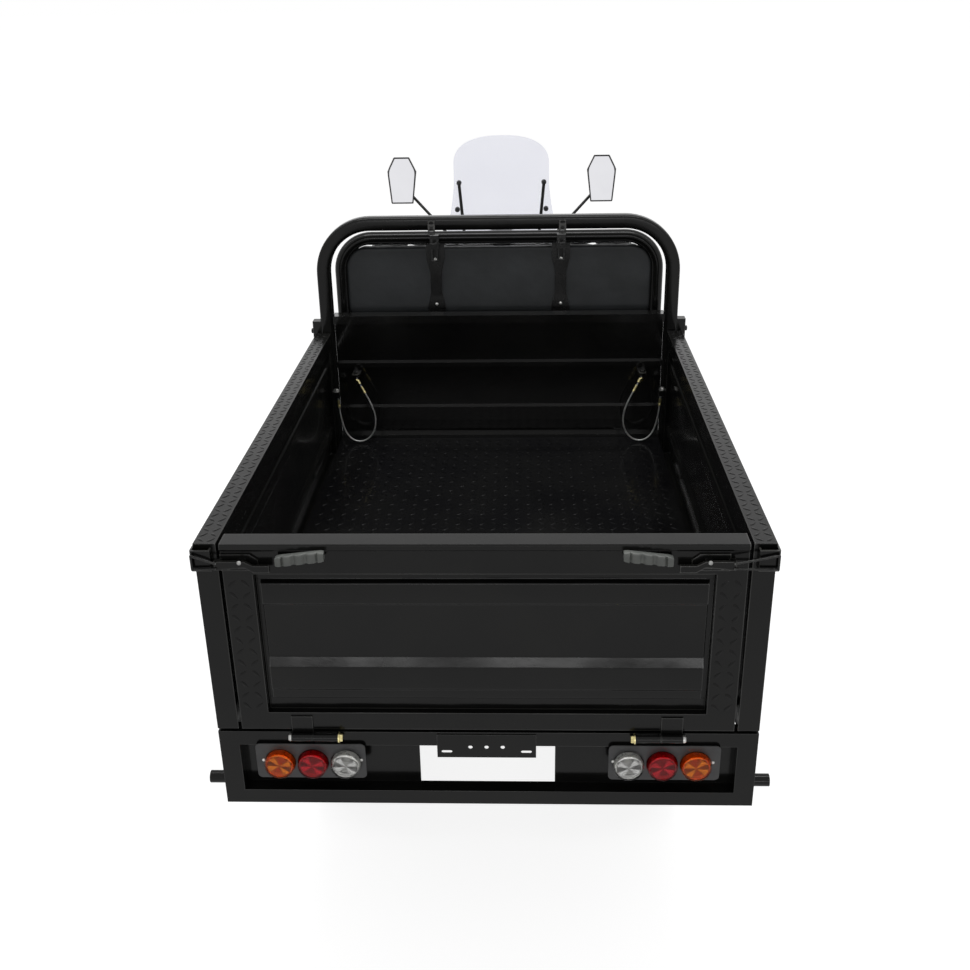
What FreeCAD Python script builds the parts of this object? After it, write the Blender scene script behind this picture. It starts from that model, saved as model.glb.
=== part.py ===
import FreeCAD, Part
import math
import os
import re
import Sketcher

# Three-wheeled cargo tricycle with an open tipping bed, drop sides and a drop tailgate.
# Millimetres. +Y is forward, +X is the right-hand side, +Z is up.
# The origin is on the ground below the middle of the vehicle.

# Driving dimensions
SIZES = {
    # whole vehicle
    "running_gap": 6,
    "seat_gap": 0.3,
    # load bed
    "box_width": 1000,
    "bed_length": 1310,
    "gate_height": 386,
    "bed_depth": 311,
    "gate_wall": 40,
    "side_rail_height": 42,
    "side_panel_wall": 22,
    "floor_sheet": 3,
    "bed_rail_width": 44,
    "bed_rail_drop": 16,
    "cross_width": 40,
    "pivot_ahead": 150,
    "bed_pad": 14,
    "pivot_pin": 10,
    "tip_lug_sheet": 12,
    "tip_lug_half": 30,
    "tip_lug_under": 25,
    "cross_front_gap": 8,
    # tailgate
    "tailgate_wall": 38,
    "stile_width": 53,
    "top_rail": 60,
    "foot_rail": 37,
    "hinge_out": 10,
    "hinge_drop": 11,
    "hinge_barrel": 8,
    "hinge_pin": 3.5,
    "hinge_near": 272,
    "fixed_knuckle": 48,
    "moving_knuckle": 40,
    "leaf_sheet": 3,
    "leaf_height": 30,
    "knuckle_gap": 1,
    "lip_out": 5,
    "lip_height": 15,
    "panel_slot": 17,
    "upper_band": 44,
    "press_slope": 4,
    "rib_head": 117,
    "rib_crest": 95,
    "lower_step": 50,
    "lower_slot": 27,
    "band_depth": 2,
    "step_depth": 5,
    "field_depth": 10,
    "slot_depth": 14,
    "panel_back": 26,
    # draw latches of the tailgate
    "latch_shift": 16,
    "latch_base_near": 372,
    "latch_base_length": 66,
    "latch_base_top": 19,
    "latch_base_height": 32,
    "latch_sheet": 4,
    "latch_rivet": 3,
    "latch_nose": 14,
    "latch_nose_half": 5,
    "latch_post": 12,
    "lever_near": 351,
    "lever_sheet": 6,
    "lever_out": 11,
    "lever_bend": 28,
    "lever_end": 3,
    "lever_head": 8,
    "bail_out": 18,
    "bail_wire": 2.2,
    "bail_reach": 500,
    "bail_spread": 13,
    "grip_length": 88,
    "grip_height": 22,
    "grip_lift": 15,
    "grip_out": 26,
    "grip_thick": 19,
    "grip_chamfer": 6,
    "finger_radius": 14,
    "finger_sink": 2.5,
    # side gates
    "side_hinge_out": 5,
    "side_hinge_drop": 9,
    "side_barrel": 7,
    "side_lug": 4,
    "side_fixed": 30,
    "side_moving": 38,
    "side_hinge_end": 101,
    "side_skin": 12,
    "side_field": 16,
    "side_rib_top": 36,
    "side_rib_foot": 50,
    "side_rib": 40,
    "side_rib_slope": 6,
    "keeper_out": 6,
    "keeper_near": 24,
    "keeper_far": 10,
    "keeper_drop": 20,
    "keeper_height": 16,
    "side_leaf_rise": 24,
    "lug_in": 20,
    "lug_behind": 49,
    "lug_depth": 20,
    "lug_drop": 156,
    "lug_height": 16.7,
    # front wall and hoop
    "front_rail_rise": 46,
    "front_rail": 40,
    "hoop_tube": 36,
    "hoop_outer": 488,
    "hoop_rise": 311,
    "hoop_bend": 150,
    "wall_lip": 22,
    "wall_slope": 4,
    "wall_step": 14,
    "wall_rib": 26,
    "wall_rib_head": 88,
    "wall_rib_height": 21,
    "wall_kick_head": 219,
    "wall_kick_height": 47,
    "wall_foot_lip": 8,
    "clamp_out": 22,
    "clamp_rise": 30,
    "clamp_drop": 42,
    "clamp_knob": 7,
    "catch_half": 9,
    "catch_height": 40,
    "catch_drop": 8,
    "cable_anchor_x": 396.5,
    "cable_plate": 21,
    "cable_reach": 66,
    "cable_drop": 118,
    "cable_sheet": 4.4,
    "cable_bolt_radius": 7,
    "cable_bolt_head": 5,
    "cable_eye_in": 11.5,
    "cable_eye_drop": 24,
    "ferrule_radius": 4.5,
    "ferrule_out": 10,
    "ferrule_rise": 19.5,
    # tail frame
    "frame_rail": 30,
    "post_width": 37,
    "tail_drop": 171,
    "tail_sheet": 1.5,
    "window_half": 128,
    "stub_reach": 30,
    "stub_radius": 12,
    "stub_height": 49,
    # lamps
    "lamp_plate_near": 226,
    "lamp_plate_far": 432,
    "lamp_plate_drop": 23,
    "lamp_plate_height": 77,
    "lamp_plate_corner": 9,
    "lamp_plate_sheet": 3,
    "lamp_stand": 4,
    "lens_radius": 28,
    "lens_pitch": 62,
    "lens_middle": 325,
    "lens_drop": 69,
    "lens_depth": 20,
    "lens_rim": 3,
    # number plate bracket
    "bracket_half": 92,
    "bracket_drop": 55,
    "bracket_sheet": 2,
    "bracket_hole": 4,
    "bracket_hole_pitch": 30,
    "plate_slot_spacing": 148,
    "plate_slot_length": 20,
    "plate_slot_width": 6,
    "plate_slot_rise": 13,
    # chassis
    "chassis_rail_x": 250,
    "chassis_rail_width": 40,
    "chassis_rail_height": 50,
    "lower_rail_drop": 200,
    "lower_rail_height": 40,
    "shield_clear": 45,
    "drop_post": 40,
    "cross_tube": 40,
    "down_tube": 18,
    "down_tube_ahead": 14,
    "head_grip": 20,
    "head_behind": 16,
    "head_spare": 60,
    "deck_sheet": 4,
    "deck_width": 660,
    "shield_width": 540,
    "shield_top_width": 430,
    "shield_bend": 300,
    "shield_rise": 540,
    "shield_lean": 90,
    "shield_corner": 60,
    "shield_ease": 40,
    "shield_step": 6,
    # steering
    "head_ahead": 748,
    "rake": 25,
    "fork_offset": 50,
    "head_clear": 200,
    "head_length": 160,
    "head_radius": 30,
    "steerer_radius": 18,
    "fork_half": 84,
    "slider_radius": 24,
    "fork_tube": 17,
    "crown": 30,
    "gaiter": 70,
    "slider_length": 292,
    "slider_below": 22,
    "crown_side": 4,
    "neck_side": 14,
    "crown_gap": 5,
    "bar_rise": 340,
    "bar_radius": 11,
    "bar_half": 180,
    "bar_sweep": 120,
    "bar_tip": 222,
    "bar_lift": 34,
    "bar_fall": 8,
    "bar_back": 84,
    "riser": 15,
    "stem_x": 142,
    "stem_in": 26,
    "stem_drop": 44,
    "stem_sink": 12,
    "ear_length": 16,
    "screen_clamp_x": 108,
    "screen_clamp_length": 16,
    "screen_rod": 5,
    "screen_rod_in": 16,
    "screen_rod_drop": 142,
    "grip_radius": 17,
    "grip_sleeve": 110,
    "lamp_radius": 76,
    "lamp_depth": 96,
    "lamp_rise": 46,
    "lamp_forward": 88,
    "dial_radius": 40,
    "dial_height": 40,
    "fender_side": 9,
    "fender_wall": 2,
    "fender_clear": 18,
    "fender_round": 15,
    "fender_side_top": 6,
    "fender_side_foot": 2,
    # wheels
    "tyre_radius": 250,
    "tyre_half": 46,
    "rim_radius": 148,
    "rim_half": 40,
    "flange": 4,
    "flange_height": 13,
    "disc_half": 4,
    "disc_dish": 44,
    "disc_edge": 14,
    "rim_skin": 8,
    "bead": 15,
    "sidewall_foot": 64,
    "sidewall_top": 38,
    "shoulder_drop": 16,
    "shoulder_in": 5,
    "tread_drop": 4,
    "tread_in": 20,
    "axle_radius": 10,
    "bore_gap": 0.3,
    "hub_half": 50,
    "hub_radius": 32,
    "rear_axle_ahead": 620,
    "rear_wheel_x": 400,
    "axle_tube": 30,
    "axle_pad": 4,
    "disc_holes": 88,
    "disc_hole": 15,
    "drum_radius": 75,
    "drum_width": 24,
    "gear_half": 62,
    "gear_radius": 88,
    "motor_radius": 62,
    "motor_length": 170,
    "motor_rise": 20,
    "motor_sink": 28,
    "nut_wide": 7,
    "nut_thick": 12,
    "spring_seat_half": 40,
    "spring_seat_foot": 10,
    # springs
    "spring_half": 350,
    "spring_camber": 110,
    "spring_stack": 20,
    "spring_width": 50,
    "spring_eye": 14,
    "eye_sink": 8,
    "hanger_drop": 61,
    "hanger_sheet": 8,
    "hanger_half": 20,
    # seat
    "seat_behind": 113,
    "seat_box_depth": 370,
    "seat_box_half": 300,
    "seat_sheet": 3,
    "seat_box_height": 330,
    "cushion_half": 400,
    "cushion_height": 100,
    "cushion_tail": 10,
    "cushion_nose": 40,
    "battery_height": 240,
    "battery_side": 29,
    "battery_gap": 30,
    # backrest
    "backrest_ahead": 75,
    "backrest_half": 438,
    "backrest_tube": 17,
    "backrest_under": 76,
    "backrest_drop": 60,
    "backrest_bend": 90,
    "pad_under": 32,
    "pad_height": 181,
    "pad_gap": 4,
    "pad_depth": 55,
    "pad_behind": 5,
    "pad_corner": 58,
    "strap_x": 173,
    "strap_width": 50,
    "strap_sheet": 4,
    "strap_waist": 30,
    "strap_below": 10,
    "strap_ease": 40,
    "catch_back": 6,
    "draw_drop": 26,
    "neck_half": 8,
    "neck_height": 12,
    "bail_half": 7,
    "bail_rod": 2,
    "bail_length": 34,
    "bail_drop": 58,
    "draw_half": 12,
    "draw_depth": 18,
    "draw_height": 38,
    "draw_wire": 3,
    # mirrors and windscreen
    "mirror_x": 318,
    "mirror_ahead": 57.5,
    "mirror_rise": 202,
    "mirror_depth": 20,
    "mirror_wide": 92,
    "mirror_tall": 143,
    "mirror_lip": 3,
    "mirror_crown": 12,
    "mirror_sheet": 2.5,
    "mirror_tilt": 10,
    "mirror_stem": 4.5,
    "mirror_ear": 9,
    "screen_half": 151,
    "screen_rise": 338,
    "screen_ahead": 73.5,
    "screen_sheet": 4,
    "screen_bow": 420,
    "screen_flare": 34,
    "screen_waist": 138,
    "screen_shoulder": 65,
    "screen_upper_in": 30,
    "screen_upper": 32,
    "screen_crest_in": 80,
    "screen_crest": 8,
    "screen_tip": 28,
    "screen_foot": 6,
}

# Places worked out from the driving dimensions
PLACES = {
    "tail_reach": "lamp_stand + lamp_plate_sheet + lens_depth",
    "head_reach": "fork_offset / cos(rake) + (head_height - tyre_radius) * tan(rake)",
    "overall_length": "tail_reach + bed_length + head_ahead + head_reach + tyre_radius",
    "tail_y": "tail_reach - overall_length / 2",
    "front_y": "tail_y + bed_length",
    "eye_z": "tyre_radius + axle_tube + axle_pad + spring_stack + spring_camber + spring_eye - eye_sink",
    "pivot_height": "eye_z + spring_eye + hanger_drop + chassis_rail_height / 2",
    "rail_top_z": "pivot_height + chassis_rail_height / 2",
    "rail_foot_z": "pivot_height - chassis_rail_height / 2",
    "lower_rail_top": "pivot_height - lower_rail_drop",
    "rim_height": "rail_top_z + bed_pad + gate_height",
    "half_w": "box_width / 2",
    "inner_x": "half_w - gate_wall",
    "tail_half": "inner_x - running_gap",
    "gate_foot": "rim_height - gate_height",
    "floor_top": "rim_height - bed_depth",
    "bed_foot": "gate_foot - bed_rail_drop",
    "gate_back_y": "tail_y + tailgate_wall + running_gap",
    "hinge_y": "tail_y - hinge_out",
    "hinge_z": "gate_foot - hinge_drop",
    "side_hinge_x": "half_w + side_hinge_out",
    "side_hinge_z": "gate_foot - side_hinge_drop",
    "pivot_y": "tail_y + pivot_ahead",
    "hinge_split": "hinge_near + fixed_knuckle",
    "hinge_far": "hinge_split + moving_knuckle",
    "frame_top": "gate_foot - running_gap",
    "frame_foot": "gate_foot - tail_drop",
    "lamp_plate_top": "frame_top - lamp_plate_drop",
    "lamp_plate_foot": "lamp_plate_top - lamp_plate_height",
    "lens_height": "frame_top - lens_drop",
    "bracket_foot": "frame_top - bracket_drop",
    "plate_slot_height": "bracket_foot + plate_slot_rise",
    "hoop_inner": "hoop_outer - hoop_tube",
    "hoop_top": "rim_height + hoop_rise",
    "side_length": "bed_length - hoop_tube - running_gap",
    "side_pin": "side_fixed + side_moving + 4 * knuckle_gap",
    "deck_half": "inner_x - running_gap - 2",
    "rear_axle_y": "tail_y + rear_axle_ahead",
    "head_y": "front_y + head_ahead",
    "head_height": "2 * tyre_radius + head_clear",
    "bar_height": "head_height + bar_rise",
    "front_axle_y": "head_y + head_reach",
    "axle_drop": "fork_offset * tan(rake) + (head_height - tyre_radius) / cos(rake)",
    "backrest_y": "front_y + backrest_ahead",
    "backrest_top": "hoop_top - backrest_under",
    "pad_top": "backrest_top - pad_under",
    "pad_foot": "pad_top - pad_height",
    "seat_base": "lower_rail_top + seat_box_height",
    "bar_y": "head_y - (bar_height - head_height) * tan(rake)",
    "lamp_seat_y": "head_y + fork_offset * cos(rake) - (36 - fork_offset * sin(rake)) * tan(rake)"
                   " + fork_tube / cos(rake) + seat_gap",
    "seat_box_back": "front_y + seat_behind",
    "seat_box_front": "seat_box_back + seat_box_depth",
    "battery_half": "seat_box_half - seat_sheet - battery_side",
    "cushion_back": "seat_box_back - cushion_tail",
    "cushion_front": "seat_box_front + cushion_nose",
    "chassis_front": "head_y - shield_clear",
    "mirror_y": "bar_y + mirror_ahead",
    "mirror_height": "bar_height + mirror_rise",
    "screen_y": "bar_y + screen_ahead",
    "screen_top": "bar_height + screen_rise",
}

doc = FreeCAD.newDocument("cargo_tricycle")
sheet = doc.addObject("Spreadsheet::Sheet", "Size")
for row, (alias, number) in enumerate(SIZES.items(), start=1):
    sheet.set("A%d" % row, alias)
    sheet.set("B%d" % row, str(number))
    sheet.setAlias("B%d" % row, alias)
doc.recompute()

NODES = []


def formula(text):
    """The text as an expression on the sheet, with every place written out."""
    def swap(match):
        word = match.group(0)
        if word in PLACES:
            return "(" + formula(PLACES[word]) + ")"
        if word in SIZES:
            return "Size." + word
        return word
    return re.sub(r"[a-z][a-z_]*", swap, str(text))


def number(text):
    """The value of an expression now, as a plain number."""
    result = sheet.evalExpression(formula(text))
    return float(getattr(result, "Value", result))


def bind(thing, **properties):
    for name, text in properties.items():
        thing.setExpression(name, formula(text))


def place(thing, x=0, y=0, z=0):
    for letter, text in (("x", x), ("y", y), ("z", z)):
        thing.setExpression(".Placement.Base." + letter, formula(text))
    return thing


def box(name, x, y, z):
    """A block between two expressions on each axis."""
    block = doc.addObject("Part::Box", name)
    bind(block, Length="(%s) - (%s)" % (x[1], x[0]), Width="(%s) - (%s)" % (y[1], y[0]),
         Height="(%s) - (%s)" % (z[1], z[0]))
    return place(block, x[0], y[0], z[0])


def rod(name, start, along, length, radius):
    """A round bar from a point along X, Y or Z."""
    bar = doc.addObject("Part::Cylinder", name)
    bind(bar, Radius=radius, Height=length)
    if along == "X":
        bar.Placement.Rotation = FreeCAD.Rotation(FreeCAD.Vector(0, 1, 0), 90)
    if along == "Y":
        bar.Placement.Rotation = FreeCAD.Rotation(FreeCAD.Vector(1, 0, 0), -90)
    return place(bar, *start)


def strut(name, start, end, radius):
    """A round bar between two points anywhere."""
    bar = doc.addObject("Part::Cylinder", name)
    dx, dy, dz = ["((%s) - (%s))" % (b, a) for a, b in zip(start, end)]
    run = "sqrt(%s ^ 2 + %s ^ 2 + %s ^ 2)" % (dx, dy, dz)
    bind(bar, Radius=radius, Height=run)
    bar.setExpression(".Placement.Rotation.Axis.x", formula("0 - " + dy))
    bar.setExpression(".Placement.Rotation.Axis.y", formula(dx))
    bar.setExpression(".Placement.Rotation.Axis.z", "0")
    bar.setExpression(".Placement.Rotation.Angle", formula("acos(%s / %s)" % (dz, run)))
    return place(bar, *start)


def fuse(name, pieces):
    joined = doc.addObject("Part::MultiFuse", name)
    joined.Shapes = pieces
    return joined


def cut(name, base, tool):
    left = doc.addObject("Part::Cut", name)
    left.Base = base
    left.Tool = tool
    return left


def common(name, first, second):
    both = doc.addObject("Part::MultiCommon", name)
    both.Shapes = [first, second]
    return both


def mirror(name, source):
    """The same piece on the other side of the vehicle."""
    other = doc.addObject("Part::Mirroring", name)
    other.Source = source
    other.Normal = FreeCAD.Vector(1, 0, 0)
    return other


def pair(name, source):
    """A piece and its mirror image, as one object."""
    return fuse(name, [source, mirror(name + "_other", source)])


def outline(name, plane, points):
    """A body with a closed sketch whose corners are bound to expressions."""
    body = doc.addObject("PartDesign::Body", name)
    sketch = body.newObject("Sketcher::SketchObject", name + "_sketch")
    support = [f for f in body.Origin.OriginFeatures if f.Role == plane + "_Plane"][0]
    sketch.AttachmentSupport = (support, [""])
    sketch.MapMode = "FlatFace"
    corners = [(number(u), number(v)) for u, v in points]
    count = len(corners)
    for i in range(count):
        here, there = corners[i], corners[(i + 1) % count]
        edge = Part.LineSegment(FreeCAD.Vector(here[0], here[1], 0),
                                FreeCAD.Vector(there[0], there[1], 0))
        sketch.addGeometry(edge, False)
    for i in range(count):
        sketch.addConstraint(Sketcher.Constraint("Coincident", i, 2, (i + 1) % count, 1))
    for i, (u, v) in enumerate(points):
        for kind, text, value in (("DistanceX", u, corners[i][0]), ("DistanceY", v, corners[i][1])):
            key = sketch.addConstraint(Sketcher.Constraint(kind, -1, 1, i, 1, value))
            sketch.setExpression("Constraints[%d]" % key, formula(text))
    return body, sketch


def extrude(name, plane, points, length, both_ways=True):
    """A closed outline pushed out square to its plane."""
    body, sketch = outline(name, plane, points)
    pad = body.newObject("PartDesign::Pad", name + "_pad")
    pad.Profile = sketch
    pad.Midplane = both_ways
    bind(pad, Length=length)
    sketch.Visibility = False
    return body


def round_edges(body, name, corners, radius):
    """Fillet the edges of a body's pad that stand on these corners of its outline."""
    doc.recompute()
    pad = body.Tip
    sketch = pad.Profile[0]
    normal = sketch.Placement.Rotation.multVec(FreeCAD.Vector(0, 0, 1))
    names = []
    for u, v in corners:
        spot = sketch.Placement.multVec(FreeCAD.Vector(number(u), number(v), 0))
        for i, edge in enumerate(pad.Shape.Edges, start=1):
            ends = [vertex.Point - spot for vertex in edge.Vertexes]
            if all(end.cross(normal).Length < 0.001 for end in ends):
                names.append("Edge%d" % i)
    fillet = body.newObject("PartDesign::Fillet", name)
    fillet.Base = (pad, names)
    bind(fillet, Radius=radius)
    return body


def revolve(name, points, angle="360"):
    """An outline of (x, radius) corners turned about the X axis, from +Y towards +Z."""
    body, sketch = outline(name, "XY", points)
    turn = body.newObject("PartDesign::Revolution", name + "_turn")
    turn.Profile = sketch
    turn.ReferenceAxis = (sketch, ["H_Axis"])
    bind(turn, Angle=angle)
    sketch.Visibility = False
    return body


def node(thing, label):
    thing.Label = label
    NODES.append(thing)
    return thing


def on_rake(thing):
    """Stand a piece built about the vertical on the raked steering axis."""
    thing.Placement.Rotation = FreeCAD.Rotation(FreeCAD.Vector(1, 0, 0), number("rake"))
    thing.setExpression(".Placement.Rotation.Angle", formula("rake"))
    return place(thing, 0, "head_y", "head_height")


# Rear edges of the cross members under the bed
CROSS_MEMBERS = ["gate_back_y", "pivot_y - cross_width / 2", "rear_axle_y - cross_width / 2",
                 "rear_axle_y + spring_half", "front_y - cross_width - cross_front_gap"]
# Where the three hinges of a side gate stand along it
SIDE_HINGES = ["tail_y + side_hinge_end", "tail_y + side_length / 2", "tail_y + side_length - side_hinge_end"]
SIDES = (("right", 1), ("left", -1))


def span(sign, near, far):
    """The low and high x of a piece that lies between two distances from the middle."""
    return (near, far) if sign > 0 else ("-(%s)" % far, "-(%s)" % near)


# Load bed
def bed():
    half = "deck_half"
    floor = box("bed_floor_sheet", ("-" + half, half), ("gate_back_y", "front_y - front_rail - seat_gap"),
                ("floor_top - floor_sheet", "floor_top"))
    node(floor, "bed_floor")

    under = "floor_top - floor_sheet"
    pieces = []
    for side, sign in SIDES:
        x = span(sign, "deck_half - bed_rail_width", half)
        pieces.append(box("bed_rail_" + side, x, ("gate_back_y", "front_y"), ("bed_foot", under)))
        pieces.append(box("bed_rail_toe_" + side, x, ("tail_y + frame_rail", "gate_back_y"),
                          ("bed_foot", "frame_top")))
    for i, start in enumerate(CROSS_MEMBERS):
        pieces.append(box("bed_cross_%d" % i, ("-" + half, half), (start, start + " + cross_width"),
                          ("gate_foot", under)))
    for i, start in enumerate(CROSS_MEMBERS[2:]):
        x = ("chassis_rail_x - chassis_rail_width / 2", "chassis_rail_x + chassis_rail_width / 2")
        pad = box("bed_pad_%d" % i, x, (start, start + " + cross_width"),
                  ("rail_top_z + seat_gap", "gate_foot"))
        pieces.append(pair("bed_pad_pair_%d" % i, pad))
    for side, sign in SIDES:
        pieces.append(tip_lug(side, sign, under))
        for i, y in enumerate(SIDE_HINGES):
            x = span(sign, "deck_half - side_lug", "side_hinge_x")
            middle = "%d * side_hinge_x" % sign
            pieces.append(box("side_lug_%s_%d" % (side, i), x, (y, y + " + side_fixed"),
                              ("side_hinge_z - side_barrel", "side_hinge_z - side_barrel + side_lug")))
            pieces.append(rod("side_barrel_%s_%d" % (side, i), (middle, y, "side_hinge_z"), "Y",
                              "side_fixed", "side_barrel"))
            pieces.append(rod("side_pin_%s_%d" % (side, i), (middle, y, "side_hinge_z"), "Y",
                              "side_pin", "hinge_pin"))
    node(fuse("bed_subframe_all", pieces), "bed_subframe")


def tip_lug(side, sign, under):
    """The plate that hangs from the bed beside a chassis rail and turns on its pivot."""
    near = "chassis_rail_x + chassis_rail_width / 2 + running_gap"
    x = span(sign, near, near + " + tip_lug_sheet")
    lug = box("tip_lug_blank_" + side, x, ("pivot_y - tip_lug_half", "pivot_y + tip_lug_half"),
              ("pivot_height - tip_lug_under", under))
    hole = rod("tip_lug_bore_" + side, (x[0] + " - 1", "pivot_y", "pivot_height"), "X", "tip_lug_sheet + 2",
               "pivot_pin + bore_gap")
    return cut("tip_lug_" + side, lug, hole)


def front_wall():
    lip = "front_y - front_rail"
    face = "front_y - wall_step"
    rib = "front_y - wall_rib"
    top = "rim_height + front_rail_rise"
    foot = "floor_top - floor_sheet"
    profile = [("front_y", foot), ("front_y", top), (lip, top), (lip, top + " - wall_lip"),
               (face, top + " - wall_lip - wall_slope / 2")]
    for head, height in (("wall_rib_head", "wall_rib_height"), ("wall_kick_head", "wall_kick_height")):
        high = "rim_height - " + head
        low = high + " - " + height
        profile += [(face, high), (rib, high + " - wall_slope"), (rib, low + " + wall_slope"), (face, low)]
    profile += [(face, "floor_top + wall_foot_lip + wall_slope"), (lip, "floor_top + wall_foot_lip"),
                (lip, foot)]
    wall = extrude("front_wall_sheet", "YZ", profile, "2 * (hoop_inner - seat_gap)")
    shelf = "rim_height - cable_drop"
    bracket = box("cable_bracket", ("cable_anchor_x - cable_plate / 2", "cable_anchor_x + cable_plate / 2"),
                  ("front_y - cable_reach", face), (shelf + " - cable_sheet", shelf))
    bolt = rod("cable_bolt", ("cable_anchor_x", "front_y - cable_reach + cable_bolt_radius", shelf), "Z",
               "cable_bolt_head", "cable_bolt_radius")
    eye = ("cable_anchor_x - cable_eye_in", "front_y - cable_reach + 1", shelf + " - cable_eye_drop")
    joined = (eye[0] + " + ferrule_out", eye[1] + " + 1.5", eye[2] + " + ferrule_rise")
    ferrule = strut("cable_ferrule", eye, joined, "ferrule_radius")
    anchors = pair("cable_anchors", fuse("cable_anchor", [bracket, bolt, ferrule]))
    node(fuse("front_wall_all", [wall, anchors]), "front_wall")


def front_hoop():
    y = ("front_y - hoop_tube", "front_y")
    leg = box("hoop_leg", ("hoop_inner", "hoop_outer"), y, ("bed_foot", "hoop_top - hoop_bend"))
    bar = box("hoop_bar", ("0", "hoop_outer - hoop_bend"), y, ("hoop_top - hoop_tube", "hoop_top"))
    middle = ("hoop_outer - hoop_bend", "front_y - hoop_tube", "hoop_top - hoop_bend")
    outside = rod("hoop_bend_out", middle, "Y", "hoop_tube", "hoop_bend")
    inside = rod("hoop_bend_in", middle, "Y", "hoop_tube", "hoop_bend - hoop_tube")
    quarter = box("hoop_quarter", ("hoop_outer - hoop_bend", "hoop_outer"), y,
                  ("hoop_top - hoop_bend", "hoop_top"))
    bend = common("hoop_bend_piece", cut("hoop_ring", outside, inside), quarter)
    clamp = box("corner_clamp", ("hoop_outer", "hoop_outer + clamp_out"), (y[0] + " + 4", y[1] + " - 4"),
                ("rim_height - clamp_drop", "rim_height + clamp_rise"))
    knob = rod("clamp_knob_piece", ("hoop_outer + clamp_out", "front_y - hoop_tube / 2", "rim_height"),
               "X", "clamp_knob", "clamp_knob")
    catch_foot = "hoop_top - catch_drop - catch_height"
    catch = box("hoop_catch", ("strap_x - catch_half", "strap_x + catch_half"),
                (y[0] + " - strap_sheet", y[0]), (catch_foot, "hoop_top - catch_drop"))
    hook_at = ("strap_x - catch_half", y[0] + " - strap_sheet", catch_foot + " + strap_sheet")
    hook = rod("hoop_catch_hook", hook_at, "X", "2 * catch_half", "strap_sheet")
    half = fuse("hoop_half", [leg, bar, bend, clamp, knob, catch, hook])
    node(pair("hoop_all", half), "front_hoop")


def tail_frame():
    y = ("tail_y", "tail_y + frame_rail")
    sheet_y = ("tail_y + frame_rail - tail_sheet", "tail_y + frame_rail")
    stub = ("tail_y + frame_rail / 2", "frame_foot + stub_height")
    pieces = [
        box("frame_top_rail", ("-half_w", "half_w"), y, ("frame_top - frame_rail", "frame_top")),
        box("frame_foot_rail", ("-half_w", "half_w"), y, ("frame_foot", "frame_foot + frame_rail")),
    ]
    for side, sign in SIDES:
        pieces.append(box("frame_post_" + side, span(sign, "half_w - post_width", "half_w"), y,
                          ("frame_foot", "frame_top")))
        pieces.append(box("frame_sheet_" + side, span(sign, "window_half", "half_w - post_width"), sheet_y,
                          ("frame_foot", "frame_top")))
        start = span(sign, "half_w - 5", "half_w + stub_reach")[0]
        pieces.append(rod("rope_stub_" + side, (start,) + stub, "X", "stub_reach + 5", "stub_radius"))
        low, high = span(sign, "hinge_near", "hinge_split - knuckle_gap")
        pieces.append(box("fixed_leaf_" + side, (low, high), ("tail_y - leaf_sheet", "tail_y"),
                          ("frame_top - frame_rail", "hinge_z")))
        pieces.append(rod("fixed_barrel_" + side, (low, "hinge_y", "hinge_z"), "X",
                          "hinge_split - knuckle_gap - hinge_near", "hinge_barrel"))
        pin_start = span(sign, "hinge_near", "hinge_far")[0]
        pieces.append(rod("fixed_pin_" + side, (pin_start, "hinge_y", "hinge_z"), "X",
                          "hinge_far - hinge_near", "hinge_pin"))
    hanger = box("bracket_blank", ("-bracket_half", "bracket_half"), ("tail_y - bracket_sheet", "tail_y"),
                 ("bracket_foot", "frame_top - 4"))
    through = ("tail_y - bracket_sheet - 1", "bracket_sheet + 2")
    holes = []
    for i, sign in enumerate((-1, 1)):
        middle = "%d * plate_slot_spacing / 2" % sign
        straight = "(plate_slot_length - plate_slot_width) / 2"
        ends = (middle + " - " + straight, middle + " + " + straight)
        holes.append(box("plate_slot_%d" % i, ends, (through[0], through[0] + " + " + through[1]),
                         ("plate_slot_height - plate_slot_width / 2",
                          "plate_slot_height + plate_slot_width / 2")))
        for j, end in enumerate(ends):
            holes.append(rod("plate_slot_end_%d_%d" % (i, j), (end, through[0], "plate_slot_height"), "Y",
                             through[1], "plate_slot_width / 2"))
    for i in (-1, 0, 1):
        where = ("%d * bracket_hole_pitch" % i, through[0], "frame_top - frame_rail - bracket_hole / 2")
        holes.append(rod("bracket_hole_%d" % (i + 1), where, "Y", through[1], "bracket_hole"))
    pieces.append(cut("bracket_cut", hanger, fuse("bracket_holes", holes)))
    node(fuse("tail_frame_all", pieces), "tail_frame")


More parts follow.
